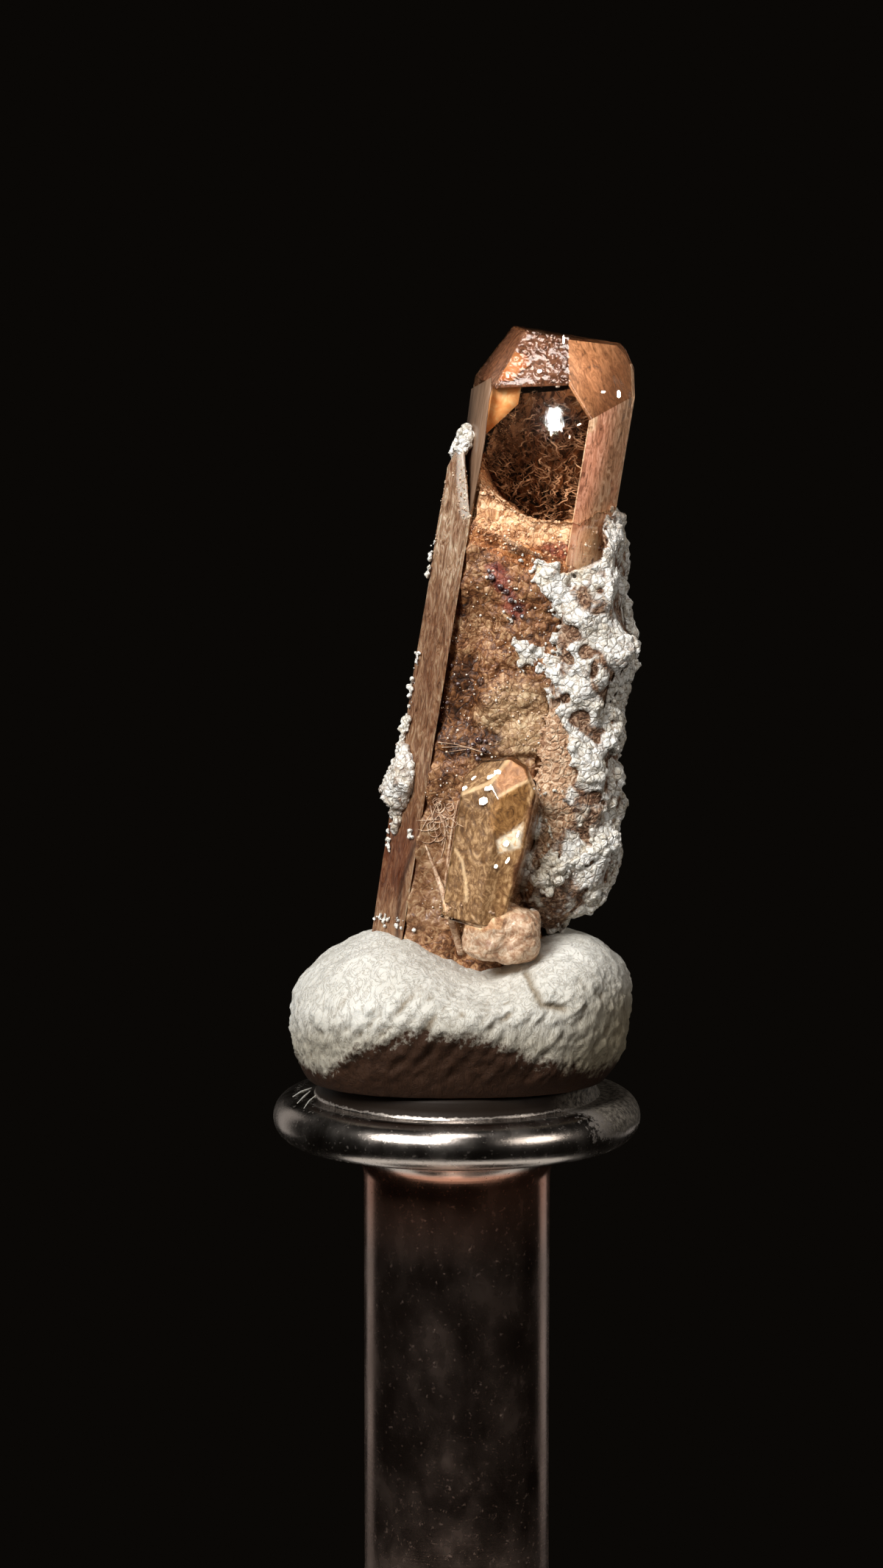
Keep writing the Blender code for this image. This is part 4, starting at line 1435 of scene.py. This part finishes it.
def patch_pattern(spots, out):
    """Pebbles on the small crust patches, kept to what the photograph shows of them."""
    seen = pixel(spots)
    shown = np.maximum(within(seen, PATCH_SEEN, 3), within(seen, CAP_SEEN, 2))
    inside = step(seen[:, 0] - np.interp(seen[:, 1], PATCH_EDGE_ROWS, PATCH_EDGE), 2, 6)
    return np.full(len(spots), 0.05), np.where(out[:, 1] > 0.3, inside, shown * inside)


PUTTY_CENTRE = np.array((0.12, 0.0, 21.06))
PUTTY_HALF = np.array((4.62, 4.30, 2.02))
PUTTY_UNDER = 3.2
PUTTY_SEGMENTS = 400
PUTTY_RINGS = 180
STAND_TOP_Z = 18.98
# The creases of the putty's left side: their middle and half size, and from one to the next, in pixels
CREASES_SEEN = ((555, 1392), (135, 66))
CREASE_STEP = 23.0


def around(radii, heights, segments):
    """Rings of points round the upright axis."""
    turn = 2 * np.pi * np.arange(segments) / segments
    high = np.repeat(heights[:, None], segments, 1)
    rings = (radii[:, None] * np.cos(turn), radii[:, None] * np.sin(turn), high)
    return np.stack(rings, 2).reshape(-1, 3)


def putty_ball():
    rise = np.pi * (np.arange(1, PUTTY_RINGS + 1) / (PUTTY_RINGS + 1) - 0.5)
    unit = around(np.cos(rise), np.sin(rise), PUTTY_SEGMENTS)
    unit = np.concatenate((unit, [(0, 0, -1.0)], [(0, 0, 1.0)]))
    squared = np.sign(unit) * np.abs(unit) ** 0.8
    points = PUTTY_CENTRE + squared * PUTTY_HALF
    low = unit[:, 2] < 0
    points[low, 2] = PUTTY_CENTRE[2] + squared[low, 2] * PUTTY_UNDER
    sag = 0.055 * (4.6 - points[:, 0] + PUTTY_CENTRE[0])
    points[:, 2] -= sag * (1 - unit[:, 2] ** 2)
    upper = step(unit[:, 2], 0.0, 0.9)
    saddle = np.exp(-(((points[:, 0] - 0.75) / 1.6) ** 2))
    lobe = np.exp(-(((points[:, 0] - 3.15) / 1.5) ** 2)) + np.exp(-(((points[:, 0] + 2.75) / 1.9) ** 2))
    points[:, 2] += upper * (0.035 * (points[:, 0] - PUTTY_CENTRE[0]) + 0.10 * lobe - 1.05 * saddle)
    out = unit * (1, 1, 0.5)
    out /= np.linalg.norm(out, axis=1, keepdims=True)
    above = step(points[:, 2], STAND_TOP_Z + 0.1, STAND_TOP_Z + 0.9)
    points = points + out * (0.13 * lumps(points, 1.6) * above)[:, None]
    seen = pixel(points)
    front = step(-out[:, 1], -0.1, 0.25)
    bend = 7.0 * lumps(points, 1.1, 2)
    phase = (seen[:, 0] * 0.80 + seen[:, 1] * 0.60 + bend) / CREASE_STEP
    field = spot(seen, *CREASES_SEEN, 0.55, 1.15)
    ridges = 0.085 * np.sin(2 * np.pi * phase) * field * front * (0.6 + 0.6 * lumps(points, 0.8, 2))
    down_right, up_right = points @ np.array((0.78, 0, -0.62)), points @ np.array((0.62, 0, 0.78))
    slant = np.stack((down_right, points[:, 1] * 0.6, up_right * 0.28), 1)
    kneaded = 0.35 + 0.65 * step(seen[:, 1] + 0.10 * (seen[:, 0] - 600), 1315, 1385)
    wrinkles = (0.085 * lumps(slant, 0.22, 3) + 0.050 * lumps(points, 0.30, 3)) * kneaded
    crease = near_line(seen, ((716, 1322), (727, 1345), (737, 1366), (768, 1372)))
    crease = np.exp(-((crease / 5.0) ** 2)) * front
    rim = np.exp(-((near_line(seen, ((665, 1330), (690, 1352), (715, 1368))) / 5.0) ** 2)) * front
    shift = (ridges + wrinkles) * above - 0.13 * crease - 0.05 * rim
    points = points + out * shift[:, None]
    points[:, 2] = np.maximum(points[:, 2], STAND_TOP_Z + 0.03)
    # Painted shade in the wrinkle troughs and along the creases
    hollow = np.clip(step(-(ridges + wrinkles), 0.02, 0.11) * above + crease, 0, 1)
    # Painted shade on the underside, and in front below an edge
    edge = np.interp(seen[:, 0], *zip(*UNDER_SHADE_EDGE))
    under = 1 - step(points[:, 2], STAND_TOP_Z + 0.1, STAND_TOP_Z + 1.0)
    painted_under_shade = np.maximum(step(seen[:, 1] - edge, -30, 26) * front, under)
    # Painted shade on the lower right and low front of the putty
    dusk = step(seen[:, 0] + 0.9 * (seen[:, 1] - 1400), 690, 850) * step(seen[:, 1], 1290, 1370)
    dusk = np.maximum(dusk, 0.7 * step(seen[:, 1], 1370, 1425)) * step(-out[:, 1], -0.4, 0.0)
    return points, ring_grid(PUTTY_RINGS, PUTTY_SEGMENTS), {"hollow": hollow, "painted_under_shade": painted_under_shade, "dusk": dusk}


# Column and row of the edge below which shade is painted on the putty
UNDER_SHADE_EDGE = (
    (400, 1482), (440, 1464), (480, 1430), (560, 1408), (650, 1414), (720, 1440), (800, 1456), (860, 1446),
)


def arc(centre_r, centre_z, radius, start, end, count):
    angles = np.radians(np.linspace(start, end, count))
    return [(centre_r + radius * math.cos(a), centre_z + radius * math.sin(a)) for a in angles]


def stand_profile():
    """Radius and height along the turned post, from the foot up."""
    foot, foot_high, edge, shaft, cove, neck = 7.5, 1.3, 0.35, 2.55, 0.9, 3.05
    bead_r, bead_z, bead = 4.40, 17.81, 0.63
    neck += cove * 0.55
    profile = [(0.5, 0.0), (foot - edge, 0.0)]
    profile += arc(foot - edge, edge, edge, -90, 0, 8)
    profile += arc(foot - edge, foot_high - edge, edge, 0, 90, 8)
    profile += arc(shaft + cove, foot_high + cove, cove, 270, 180, 14)
    profile += [(shaft, 6.0), (shaft, 10.0), (shaft, 14.0)]
    profile += arc(neck, 16.1, neck - shaft, 180, 125, 14)
    profile += arc(bead_r, bead_z, bead, -80, 110, 26)
    profile += [(3.92, 18.43), (3.84, 18.56), (3.82, 18.66), (3.82, 18.86), (3.78, 18.94)]
    return profile + [(3.70, STAND_TOP_Z), (0.5, STAND_TOP_Z)]


STAND_SEGMENTS = 200


def stand():
    profile = np.array(stand_profile())
    rings = around(profile[:, 0], profile[:, 1], STAND_SEGMENTS)
    points = np.concatenate((rings, [(0, 0, 0.0)], [(0, 0, STAND_TOP_Z)]))
    high = points[:, 2]
    turned = np.degrees(np.arctan2(points[:, 0], -points[:, 1]))
    dusty = step(turned, 38, 62) * (1 - step(turned, 130, 160)) * step(high, 17.6, 17.9)
    masks = {
        # The collar under the putty gets a painted dark reflection, the right lobe dust
        "painted_dark_reflection_and_dust": np.maximum(step(high, 18.42, 18.50), 0.75 * dusty),
        "dusty": dusty,
        # A painted warm reflection: the reddish band below the flange
        "painted_copper_reflection": step(high, 15.75, 15.95) * (1 - step(high, 16.55, 16.75))
        + 0.12 * (1 - step(high, 15.3, 15.75)),
        "brown": 0.6 * step(high, 1.6, 2.4) * (1 - step(high, 16.0, 16.4)),
        "worn": step(high, 17.1, 17.5),
    }
    return points, ring_grid(len(profile), STAND_SEGMENTS), masks


# What the photograph shows where, in its pixels

# Plates painted bright orange for refracted light inside the crystal: corners in pixels, and depth
ORANGE_PLATES = (
    (((668, 523), (709, 521), (704, 549), (658, 592)), -0.7),
)
UPPER_ORANGE = ((700, 479), (716, 484), (722, 497), (708, 505), (697, 519), (677, 518))
GREY_FACE_SEEN = (
    (642, 529), (668, 514), (668, 530), (665, 545), (659, 600), (652, 640), (645, 676), (637, 714), (630, 668),
    (629, 625), (634, 590),
)
# Painted highlights: bright plates put where highlights show, aimed to reflect the key lamp; column, row,
# width and height in pixels, and turn
WINDOW_GLINTS = (
    (750, 569, 3, 12, 0.2), (749, 589, 2.5, 9, 0.1), (763, 581, 1.2, 14, 0.1), (774, 594, 2, 5, 0.0),
    (787, 577, 6, 2.5, 0.5), (690, 512, 4, 4, 0.0), (698, 513, 3, 5, 0.0), (766, 462, 2.5, 13, 0.1),
    (820, 533, 6, 3, 0.0), (841, 536, 5, 11, 0.2), (733, 505, 7, 5, 0.4), (758, 525, 6, 4, 0.0),
)
# The same painted highlights on the small crystal
CRYSTAL_GLINTS = (
    (657, 1089, 13, 11, 0.3), (664, 1072, 12, 6, 0.2), (668, 1056, 13, 6, 0.2), (676, 1050, 10, 7, 0.1),
    (632, 1072, 8, 7, 0.2), (644, 1058, 8, 4, 0.7), (688, 1147, 8, 9, -0.3), (704, 1134, 3, 10, -0.2),
    (674, 1178, 5, 6, 0.0), (690, 1170, 4, 10, -0.4),
)
# line, how many grains, spread across it, smallest and largest radius in millimetres
CREAM_BEADS = (
    (((627, 640), (627, 660), (631, 690), (638, 712)), 70, 4.5, 0.015, 0.045),
    (((650, 660), (668, 672), (690, 690), (712, 705), (760, 712), (830, 712)), 130, 4.0, 0.02, 0.06),
    (((640, 700), (670, 725), (720, 742), (800, 738)), 140, 11.0, 0.015, 0.05),
    (((604, 650), (596, 700), (590, 750)), 14, 3.0, 0.015, 0.035),
    (((660, 930), (700, 950), (745, 1020)), 60, 22.0, 0.015, 0.045),
    (((590, 1215), (600, 1235), (612, 1243)), 20, 7.0, 0.015, 0.045),
    (((667, 1240), (671, 1241)), 4, 1.0, 0.035, 0.06),
)
WHITE_CLUSTERS = (
    (((557, 972), (553, 985), (550, 1000), (546, 1016), (540, 1030)), 40, 2.5, 0.05, 0.11),
    (((534, 1108), (532, 1125), (529, 1145), (528, 1156)), 22, 1.5, 0.04, 0.08),
    (((560, 1130), (561, 1140)), 5, 1.5, 0.06, 0.10),
    (((716, 762), (732, 778), (748, 795), (765, 825), (780, 845)), 90, 7.0, 0.025, 0.075),
    (((704, 872), (716, 884), (738, 893), (756, 892)), 60, 7.0, 0.025, 0.08),
    (((686, 848), (700, 832), (697, 820)), 9, 5.0, 0.025, 0.06),
    (((590, 727), (586, 745), (583, 765), (580, 785)), 22, 2.0, 0.03, 0.08),
    (((571, 885), (566, 905), (560, 940), (556, 975)), 26, 2.5, 0.03, 0.09),
    (((516, 1245), (535, 1256), (560, 1262)), 30, 4.0, 0.03, 0.09),
    (((745, 1165), (735, 1190), (745, 1208), (762, 1180), (752, 1163)), 46, 5.0, 0.06, 0.17),
    (((742, 1115), (747, 1125), (749, 1143), (737, 1160), (731, 1190)), 26, 1.0, 0.03, 0.055),
    (((727, 1068), (733, 1086), (737, 1080), (750, 1076), (776, 1072)), 26, 1.5, 0.02, 0.045),
    (((758, 1181), (775, 1172), (800, 1162), (822, 1152), (836, 1146)), 120, 6.0, 0.05, 0.13),
)
# line, radii in millimetres, lift
LATHS = (
    (
        ((578, 1148), (590, 1180), (601, 1210), (611, 1240), (620, 1272), (627, 1296)),
        (0.02, 0.06, 0.10, 0.115, 0.11),
        0.03,
    ),
    (((604, 1210), (608, 1170), (613, 1135), (618, 1108), (623, 1088)), (0.03, 0.035, 0.022), 0.0),
    (((595, 1009), (620, 1012), (642, 1018), (661, 1025)), (0.010, 0.016, 0.010), 0.03),
    (((600, 1016), (626, 1015), (652, 1021)), (0.008, 0.012, 0.008), 0.03),
    (((610, 1022), (634, 1019), (648, 1013)), (0.008, 0.012, 0.008), 0.03),
    (((725, 1067), (733, 1088), (731, 1110), (728, 1140)), (0.015, 0.026, 0.018), 0.0),
    (((592, 1085), (598, 1110), (606, 1130), (600, 1150)), (0.012, 0.03, 0.015), 0.0),
    (((585, 1095), (590, 1125), (597, 1148)), (0.012, 0.025, 0.012), 0.0),
)
# line and radii in millimetres, on the stand
SMEARS = (
    (((398, 1491), (410, 1484), (424, 1479)), (0.008, 0.028, 0.008)),
    (((404, 1500), (414, 1490), (422, 1483)), (0.008, 0.024, 0.008)),
    (((413, 1507), (420, 1497), (429, 1489)), (0.006, 0.020, 0.006)),
)
# place and width in pixels
BUBBLES = (
    (668, 785, 11), (664, 776, 6), (680, 797, 8), (688, 804, 9), (693, 815, 8), (703, 826, 10), (709, 838, 7),
    (697, 838, 6), (650, 1006, 9), (644, 1013, 7), (656, 1020, 8), (638, 1020, 7), (649, 1030, 9),
    (660, 1008, 6), (615, 905, 6), (622, 930, 5), (609, 955, 6),
)


# The pieces

glass = clear_topaz("clear_topaz", (0.97, 0.72, 0.50), 200.0, (1.0, 0.90, 0.80))
golden = clear_topaz("golden_topaz", (0.98, 0.84, 0.60), 150.0, (1.0, 0.94, 0.84))
etched = sugary_topaz()
SLOPE_TONES = ((0.30, 0.145, 0.07), (0.55, 0.285, 0.145), (0.76, 0.47, 0.28))
SIDE_TONES = ((0.19, 0.105, 0.06), (0.84, 0.61, 0.42), (1.0, 0.97, 0.86))
CREAM_FROM_Z = 34.7
cloud = cloudy_growth("cloudy_growth", (1.0, 0.92, 0.84), SLOPE_TONES)
side_cloud = cloudy_growth("side_growth", (1.0, 1.0, 1.0), SIDE_TONES, CREAM_FROM_Z)
dusky_cloud = cloudy_growth("dusky_growth", (0.36, 0.28, 0.25))
threads = thread_stuff()
satin = satin_topaz()
rock = crust_stone()
clay = putty_clay()
steel = polished_steel()

top_points, top_faces, top_masks = clear_top()
clear_piece = add_mesh("topaz_clear_top", top_points, top_faces, glass, top_masks, sharp=14)

MAIN_FACES = MAIN_SIDES + MAIN_TOPS + MAIN_CUT
veil_pieces = [
    add_mesh("topaz_veil_" + name, *veil(MAIN_POINT, MAIN_FACES, face, VEIL_INSET), stuff)
    for name, face, stuff in (
        ("right", (59, 90), side_cloud),
        ("far_right", (104.2, 90), side_cloud),
        ("slope_right", (47, 58.4), cloud),
        ("slope_front", (-8, 55), dusky_cloud),
        ("slope_left", (-78, 62.2), dusky_cloud),
    )
]

wisp_piece = add_mesh("topaz_growth_threads", *wisps(580), threads)

small_points, small_faces = small_crystal()
small_piece = add_mesh("topaz_front_crystal", small_points, small_faces, golden, sharp=14)
core_points, core_faces, core_masks = small_core()
core_piece = add_mesh("topaz_golden_core", core_points, core_faces, golden_core(), core_masks, sharp=20)

body_points, body_faces, front, under_glass, on_top = etched_body()
etched_masks = body_masks(body_points, front, under_glass, on_top)
body_piece = add_mesh("topaz_etched_body", body_points, body_faces, etched, etched_masks)
side_points, side_faces, side_masks = side_prism()
side_piece = add_mesh("topaz_side_prism", side_points, side_faces, satin, side_masks, sharp=20)

stump_points, stump_faces = stump()
# Painted shade along a crease of the stump
stump_crease_shade = stroke(pixel(stump_points), STUMP_CREASE, 1, 7)
stump_masks = {"tan": np.full(len(stump_points), 1.0), "hollow": 0.4 * stump_crease_shade}
stump_piece = add_mesh("topaz_front_stump", stump_points, stump_faces, etched, stump_masks, sharp=60)

body_tree = tree_of(body_points, body_faces)
side_tree = tree_of(side_points, side_faces)
small_tree = tree_of(small_points, small_faces)
stump_tree = tree_of(stump_points, stump_faces)
TOPAZ_TREES = (body_tree, side_tree, small_tree, stump_tree)

# Painted light: orange plates inside the crystal, one just under the etched face
under_etched = MAIN_POINT + ETCHED_FACE * (MAIN_TOPS[0][2] - 0.06)
upper_plate = slab([on_plane(x, y, under_etched, ETCHED_FACE) for x, y in UPPER_ORANGE], 0.02)
plates = joined([*(inner_glow_plate(corners, depth) for corners, depth in ORANGE_PLATES), upper_plate])
shallow = np.zeros(len(plates[0]))
shallow[-len(upper_plate[0]) :] = 1.0
plate_piece = add_mesh("topaz_orange_glow_plates", *plates, glowing_orange(), {"shallow": shallow})

# Painted reflection: an opaque grey plate on the left face
LEFT_FACE = (280.5, 90)
GREY_FROM_MIDDLE = 2.0
left_normal = normal_of(*LEFT_FACE)
left_place = MAIN_POINT + left_normal * GREY_FROM_MIDDLE
left_corners = [on_plane(x, y, left_place, left_normal) for x, y in GREY_FACE_SEEN]
grey_piece = add_mesh("topaz_grey_face", *slab(left_corners[::-1], 0.03), grey_face())

haze_corners = [
    MAIN_POINT + right * RIGHT + 1.55 * AWAY + up * UP
    for right, up in ((-1.75, -1.0), (-1.3, -2.0), (1.6, -2.0), (1.6, 1.2), (0.5, 1.7), (-1.2, 1.3))
]
haze_piece = add_mesh("topaz_growth_haze", *slab(haze_corners, 0.02), growth_haze())

glints = [glint(seen_at(x, y, -0.9), w * PX, h * PX, t) for x, y, w, h, t in WINDOW_GLINTS]
for x, y, w, h, t in CRYSTAL_GLINTS:
    place, out = seen_on(small_tree, x, y)
    if place is not None:
        glints.append(glint(place - 0.01 * out, w * PX, h * PX, t))
glint_piece = add_mesh("topaz_highlight_plates", *joined(glints), bright_glint(), sharp=20)


def specks():
    """Bright sugary grains on the etched body."""
    spots, sizes = [], []
    for x, y in zip(RANDOM.uniform(572, 790, 620), RANDOM.uniform(700, 1290, 620)):
        place, out = seen_on(body_tree, x, y)
        if place is not None:
            spots.append(place + 0.008 * out)
            duller = 0.4 if x < 625 and y > 1085 else 1.0
            sizes.append(duller * (0.014 + 0.036 * RANDOM.uniform() ** 4))
    whole_body = (body_points, np.array([face[:3] for face in body_faces]))
    on_body, out = scattered(*whole_body, 900)
    far = out[:, 1] > -0.3
    spots += list(on_body[far])
    sizes += list(0.014 + 0.036 * RANDOM.uniform(size=far.sum()) ** 4)
    return pebbles(np.array(spots), np.array(sizes))


speck_piece = add_mesh("topaz_bright_grains", *specks(), frosted_grain())


crust_core = core_of("matrix_right", 0.14)
CRUST_TREES = (*TOPAZ_TREES, tree_of(*crust_core))


def near_seen(x, y):
    """As first_seen, but beside the topaz it takes the nearest topaz to one side and keeps its depth."""
    for aside in (0, 3, -3, 6, -6, 9, -9, 12, -12, 16, -16, 20, -20):
        place, out = first_seen(x + aside, y, CRUST_TREES)
        if place is not None:
            return seen_at(x + 0.6 * aside, y, place[1] + 0.1 * abs(aside) * PX), out
    return None, None


def beads_along(line, count, spread, small, large, lift=0.3):
    """Small grains along a line of the photograph, on the topaz that shows there."""
    line = np.asarray(line, float)
    share = RANDOM.uniform(0, len(line) - 1, count)
    spots, sizes = [], []
    for s in share:
        k = min(int(s), len(line) - 2)
        x, y = line[k] + (line[k + 1] - line[k]) * (s - k) + spread * RANDOM.normal(size=2)
        place, out = near_seen(x, y)
        if place is None:
            continue
        radius = small + (large - small) * RANDOM.uniform() ** 2
        spots.append(place + out * lift * radius)
        sizes.append(radius)
    return pebbles(np.array(spots), np.array(sizes))


def smooth_line(corners, count):
    corners = np.asarray(corners, float)
    share = np.linspace(0, len(corners) - 1, count)
    places = np.arange(len(corners))
    return np.stack([np.interp(share, places, column) for column in corners.T], 1)


LAID_POINTS = 24


def laid_tube(line, radius, lift, trees=TOPAZ_TREES):
    """A thread or lath along a line of the photograph, on what shows there."""
    path = []
    for x, y in smooth_line(line, LAID_POINTS):
        place, _ = first_seen(x, y, trees)
        if place is not None:
            path.append(place + lift * np.array((0, -1.0, 0)))
    path = smoothed_line(np.array(path))
    return tube(path, np.interp(np.linspace(0, 1, len(path)), np.linspace(0, 1, len(radius)), radius), 8)


def smoothed_line(path, rounds=6):
    for _ in range(rounds):
        path[1:-1] = 0.5 * path[1:-1] + 0.25 * (path[:-2] + path[2:])
    return path


border_points, border_faces = joined([beads_along(*line) for line in CREAM_BEADS])
border_masks = {"cream": np.full(len(border_points), 0.85), "pale": np.full(len(border_points), 0.4)}
border_piece = add_mesh("topaz_cream_beads", border_points, border_faces, etched, border_masks)


def strands(middle, half, count):
    """Lines of a tangle of thin threads, inside an ellipse of the photograph."""
    lines = []
    for _ in range(count):
        line = [np.array(middle) + np.array(half) * RANDOM.uniform(-0.7, 0.7, 2)]
        heading, turn = RANDOM.normal(math.pi / 2, 0.6), RANDOM.normal(0, 0.4)
        for _ in range(7):
            heading += turn
            line.append(line[-1] + 4.5 * np.array((math.cos(heading), math.sin(heading))))
        lines.append((line, (0.006, 0.016, 0.006), 0.02))
    return lines


laths = joined([laid_tube(*line) for line in (*LATHS, *strands((598, 1112), (15, 34), 26))])
lath_masks = {"tan": np.full(len(laths[0]), 0.8), "pale": np.full(len(laths[0]), 0.35)}
lath_piece = add_mesh("topaz_laths", *laths, etched, lath_masks)

bubbles = []
for x, y, size in BUBBLES:
    place, out = seen_on(body_tree, x, y)
    bubbles.append(place + 0.3 * size * PX * out)
bubble_sizes = [0.5 * size * PX for _, _, size in BUBBLES]
bead_piece = add_mesh("topaz_dark_beads", *pebbles(np.array(bubbles), bubble_sizes, 2, 0.12), dark_bead())

crust_points, crust_faces, crust_hollow = pebbled("matrix_right", 7500, 0.06, 0.20, 0.075, crust_pattern)
crust_points = drawn_in(crust_points)
beside = bare_beside(crust_points)
crust_masks = {"hollow": np.maximum(crust_hollow, beside), "earth": np.maximum(earthy(crust_points), beside)}
crust_piece = add_mesh("rhyolite_crust_right", crust_points, crust_faces, rock, crust_masks)

front_grains = seen_grains(CRUST_TREES, CRUST_SEEN, 17000, 0.04, 0.15, front_pattern)
ridge_points, ridge_faces, ridge_hollow = skinned("front_ridges", [front_grains], 0.046, tree_of(*crust_core))
ridge_points = drawn_in(ridge_points)
ridge_piece = add_mesh("rhyolite_front_ridges", ridge_points, ridge_faces, rock, {"hollow": ridge_hollow})

cluster = joined([beads_along(*line, lift=0.9) for line in WHITE_CLUSTERS])
cluster_points, cluster_faces = fused("cluster", [cluster], 0.031)
# Painted shade in the hollows between the white grains
cluster_cavity_shade = 0.5 * step(hollowness(cluster_points, cluster_faces, 5), 0.004, 0.02)
cluster_masks = {"hollow": cluster_cavity_shade}
cluster_piece = add_mesh("rhyolite_white_grains", cluster_points, cluster_faces, rock, cluster_masks)

LEFT_GRAINS = (3200, 0.04, 0.13, 0.036)
left_points, left_faces, left_hollow = pebbled("matrix_left", *LEFT_GRAINS, patch_pattern, 0.3, False)
left_hollow = np.clip(0.08 + 0.85 * left_hollow + 0.55 * step(lumps(left_points, 0.35), 0.1, 0.6), 0, 1)
left_piece = add_mesh("rhyolite_patch_left", left_points, left_faces, rock, {"hollow": left_hollow})

TIP_ASIDE = np.array((0.13, 0.0, 0.0))
tip_points, tip_faces, tip_hollow = pebbled("matrix_tip", 900, 0.05, 0.12, 0.033, patch_pattern, 0.3, False)
tip_points = tip_points + TIP_ASIDE
tip_piece = add_mesh("rhyolite_cap", tip_points, tip_faces, rock, {"hollow": 0.5 * tip_hollow})

putty_points, putty_faces, putty_masks = putty_ball()
putty_piece = add_mesh("putty_ball", putty_points, putty_faces, clay, putty_masks)

stand_points, stand_faces, stand_masks = stand()
stand_piece = add_mesh("turned_stand", stand_points, stand_faces, steel, stand_masks, sharp=40)
stand_tree = tree_of(stand_points, stand_faces)
smears = joined([laid_tube(line, radii, 0.01, (stand_tree,)) for line, radii in SMEARS])
smear_piece = add_mesh("putty_smears", *smears, clay)

topaz_pieces = (*veil_pieces, wisp_piece, haze_piece, plate_piece, grey_piece, glint_piece, speck_piece)
topaz_pieces += (border_piece, lath_piece, bead_piece, clear_piece, body_piece, side_piece)
topaz_pieces += (small_piece, core_piece, stump_piece)
for piece, node_name, slot in (
    *((piece, "topaz_crystal", "topaz") for piece in topaz_pieces),
    (crust_piece, "matrix_right", "rhyolite"),
    (ridge_piece, "matrix_right", "rhyolite"),
    (cluster_piece, "matrix_right", "rhyolite"),
    (left_piece, "matrix_left", "rhyolite"),
    (tip_piece, "matrix_tip", "rhyolite"),
    (putty_piece, "mounting_putty", "putty"),
    (smear_piece, "mounting_putty", "putty"),
    (stand_piece, "stand", "steel"),
):
    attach(piece, "root")
    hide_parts(node_name)


# Camera, floor and light

SENSOR_HIGH = 36.0
camera_data = bpy.data.cameras.new("camera")
camera_data.sensor_fit = "VERTICAL"
camera_data.sensor_height = SENSOR_HIGH
camera_data.lens = FOCAL_PX / PHOTO_HIGH * SENSOR_HIGH
camera_data.clip_start = 0.001
camera = bpy.data.objects.new("camera", camera_data)
bpy.context.scene.collection.objects.link(camera)
camera.location = CAMERA_AT * MM
camera.rotation_euler = (math.pi / 2 - CAMERA_UP, 0, 0)
bpy.context.scene.camera = camera

FLOOR_RADIUS = 14.0
FLOOR_UNDER = 0.02


def floor():
    bm = bmesh.new()
    bmesh.ops.create_circle(bm, cap_ends=True, segments=96, radius=FLOOR_RADIUS * MM)
    mesh = bpy.data.meshes.new("floor")
    bm.to_mesh(mesh)
    bm.free()
    material, tree, shader = new_material("pale_floor")
    place = millimetres(tree)
    shade = grain(tree, place, 0.3, 4.0)
    colour = mixed(tree, shade, (0.74, 0.73, 0.71), (0.80, 0.79, 0.77))
    set_shader(tree, shader, Base_Color=colour, Roughness=0.8)
    made = add_object("floor", mesh, material)
    made.location.z = -FLOOR_UNDER * MM


def soft_light(name, place, size, power, colour=(1.0, 1.0, 1.0), aim=(1.0, 0.0, 28.0)):
    data = bpy.data.lights.new(name, "AREA")
    data.shape = "RECTANGLE"
    data.size, data.size_y = size[0] * MM, size[1] * MM
    data.energy = power
    data.color = colour
    lamp = bpy.data.objects.new(name, data)
    bpy.context.scene.collection.objects.link(lamp)
    place, aim = Vector(place), Vector(aim)
    lamp.location = place * MM
    lamp.rotation_euler = (aim - place).to_track_quat("-Z", "Y").to_euler()


floor()
soft_light("key", KEY_PLACE, (80, 60), 0.37, (1.0, 0.98, 0.95))
soft_light("right_fill", (120, -90, 90), (60, 60), 0.055, (1.0, 0.93, 0.86))
soft_light("left_rim", (-110, 120, 30), (60, 140), 0.009, (1.0, 0.93, 0.88))
soft_light("right_rim", (110, 120, 30), (60, 140), 0.009, (1.0, 0.93, 0.88))
soft_light("top_lamp", (-6, -87, 216), (36, 36), 0.05, (1.0, 0.97, 0.95))
soft_light("lamp_by_lens", (5.6, -129, 29.9), (0.34, 1.15), 0.00015)

world = bpy.data.worlds.new("studio")
bpy.context.scene.world = world
world.use_nodes = True
world.node_tree.nodes["Background"].inputs[0].default_value = (0.003, 0.0024, 0.0018, 1)

bpy.context.scene.view_settings.view_transform = "Standard"
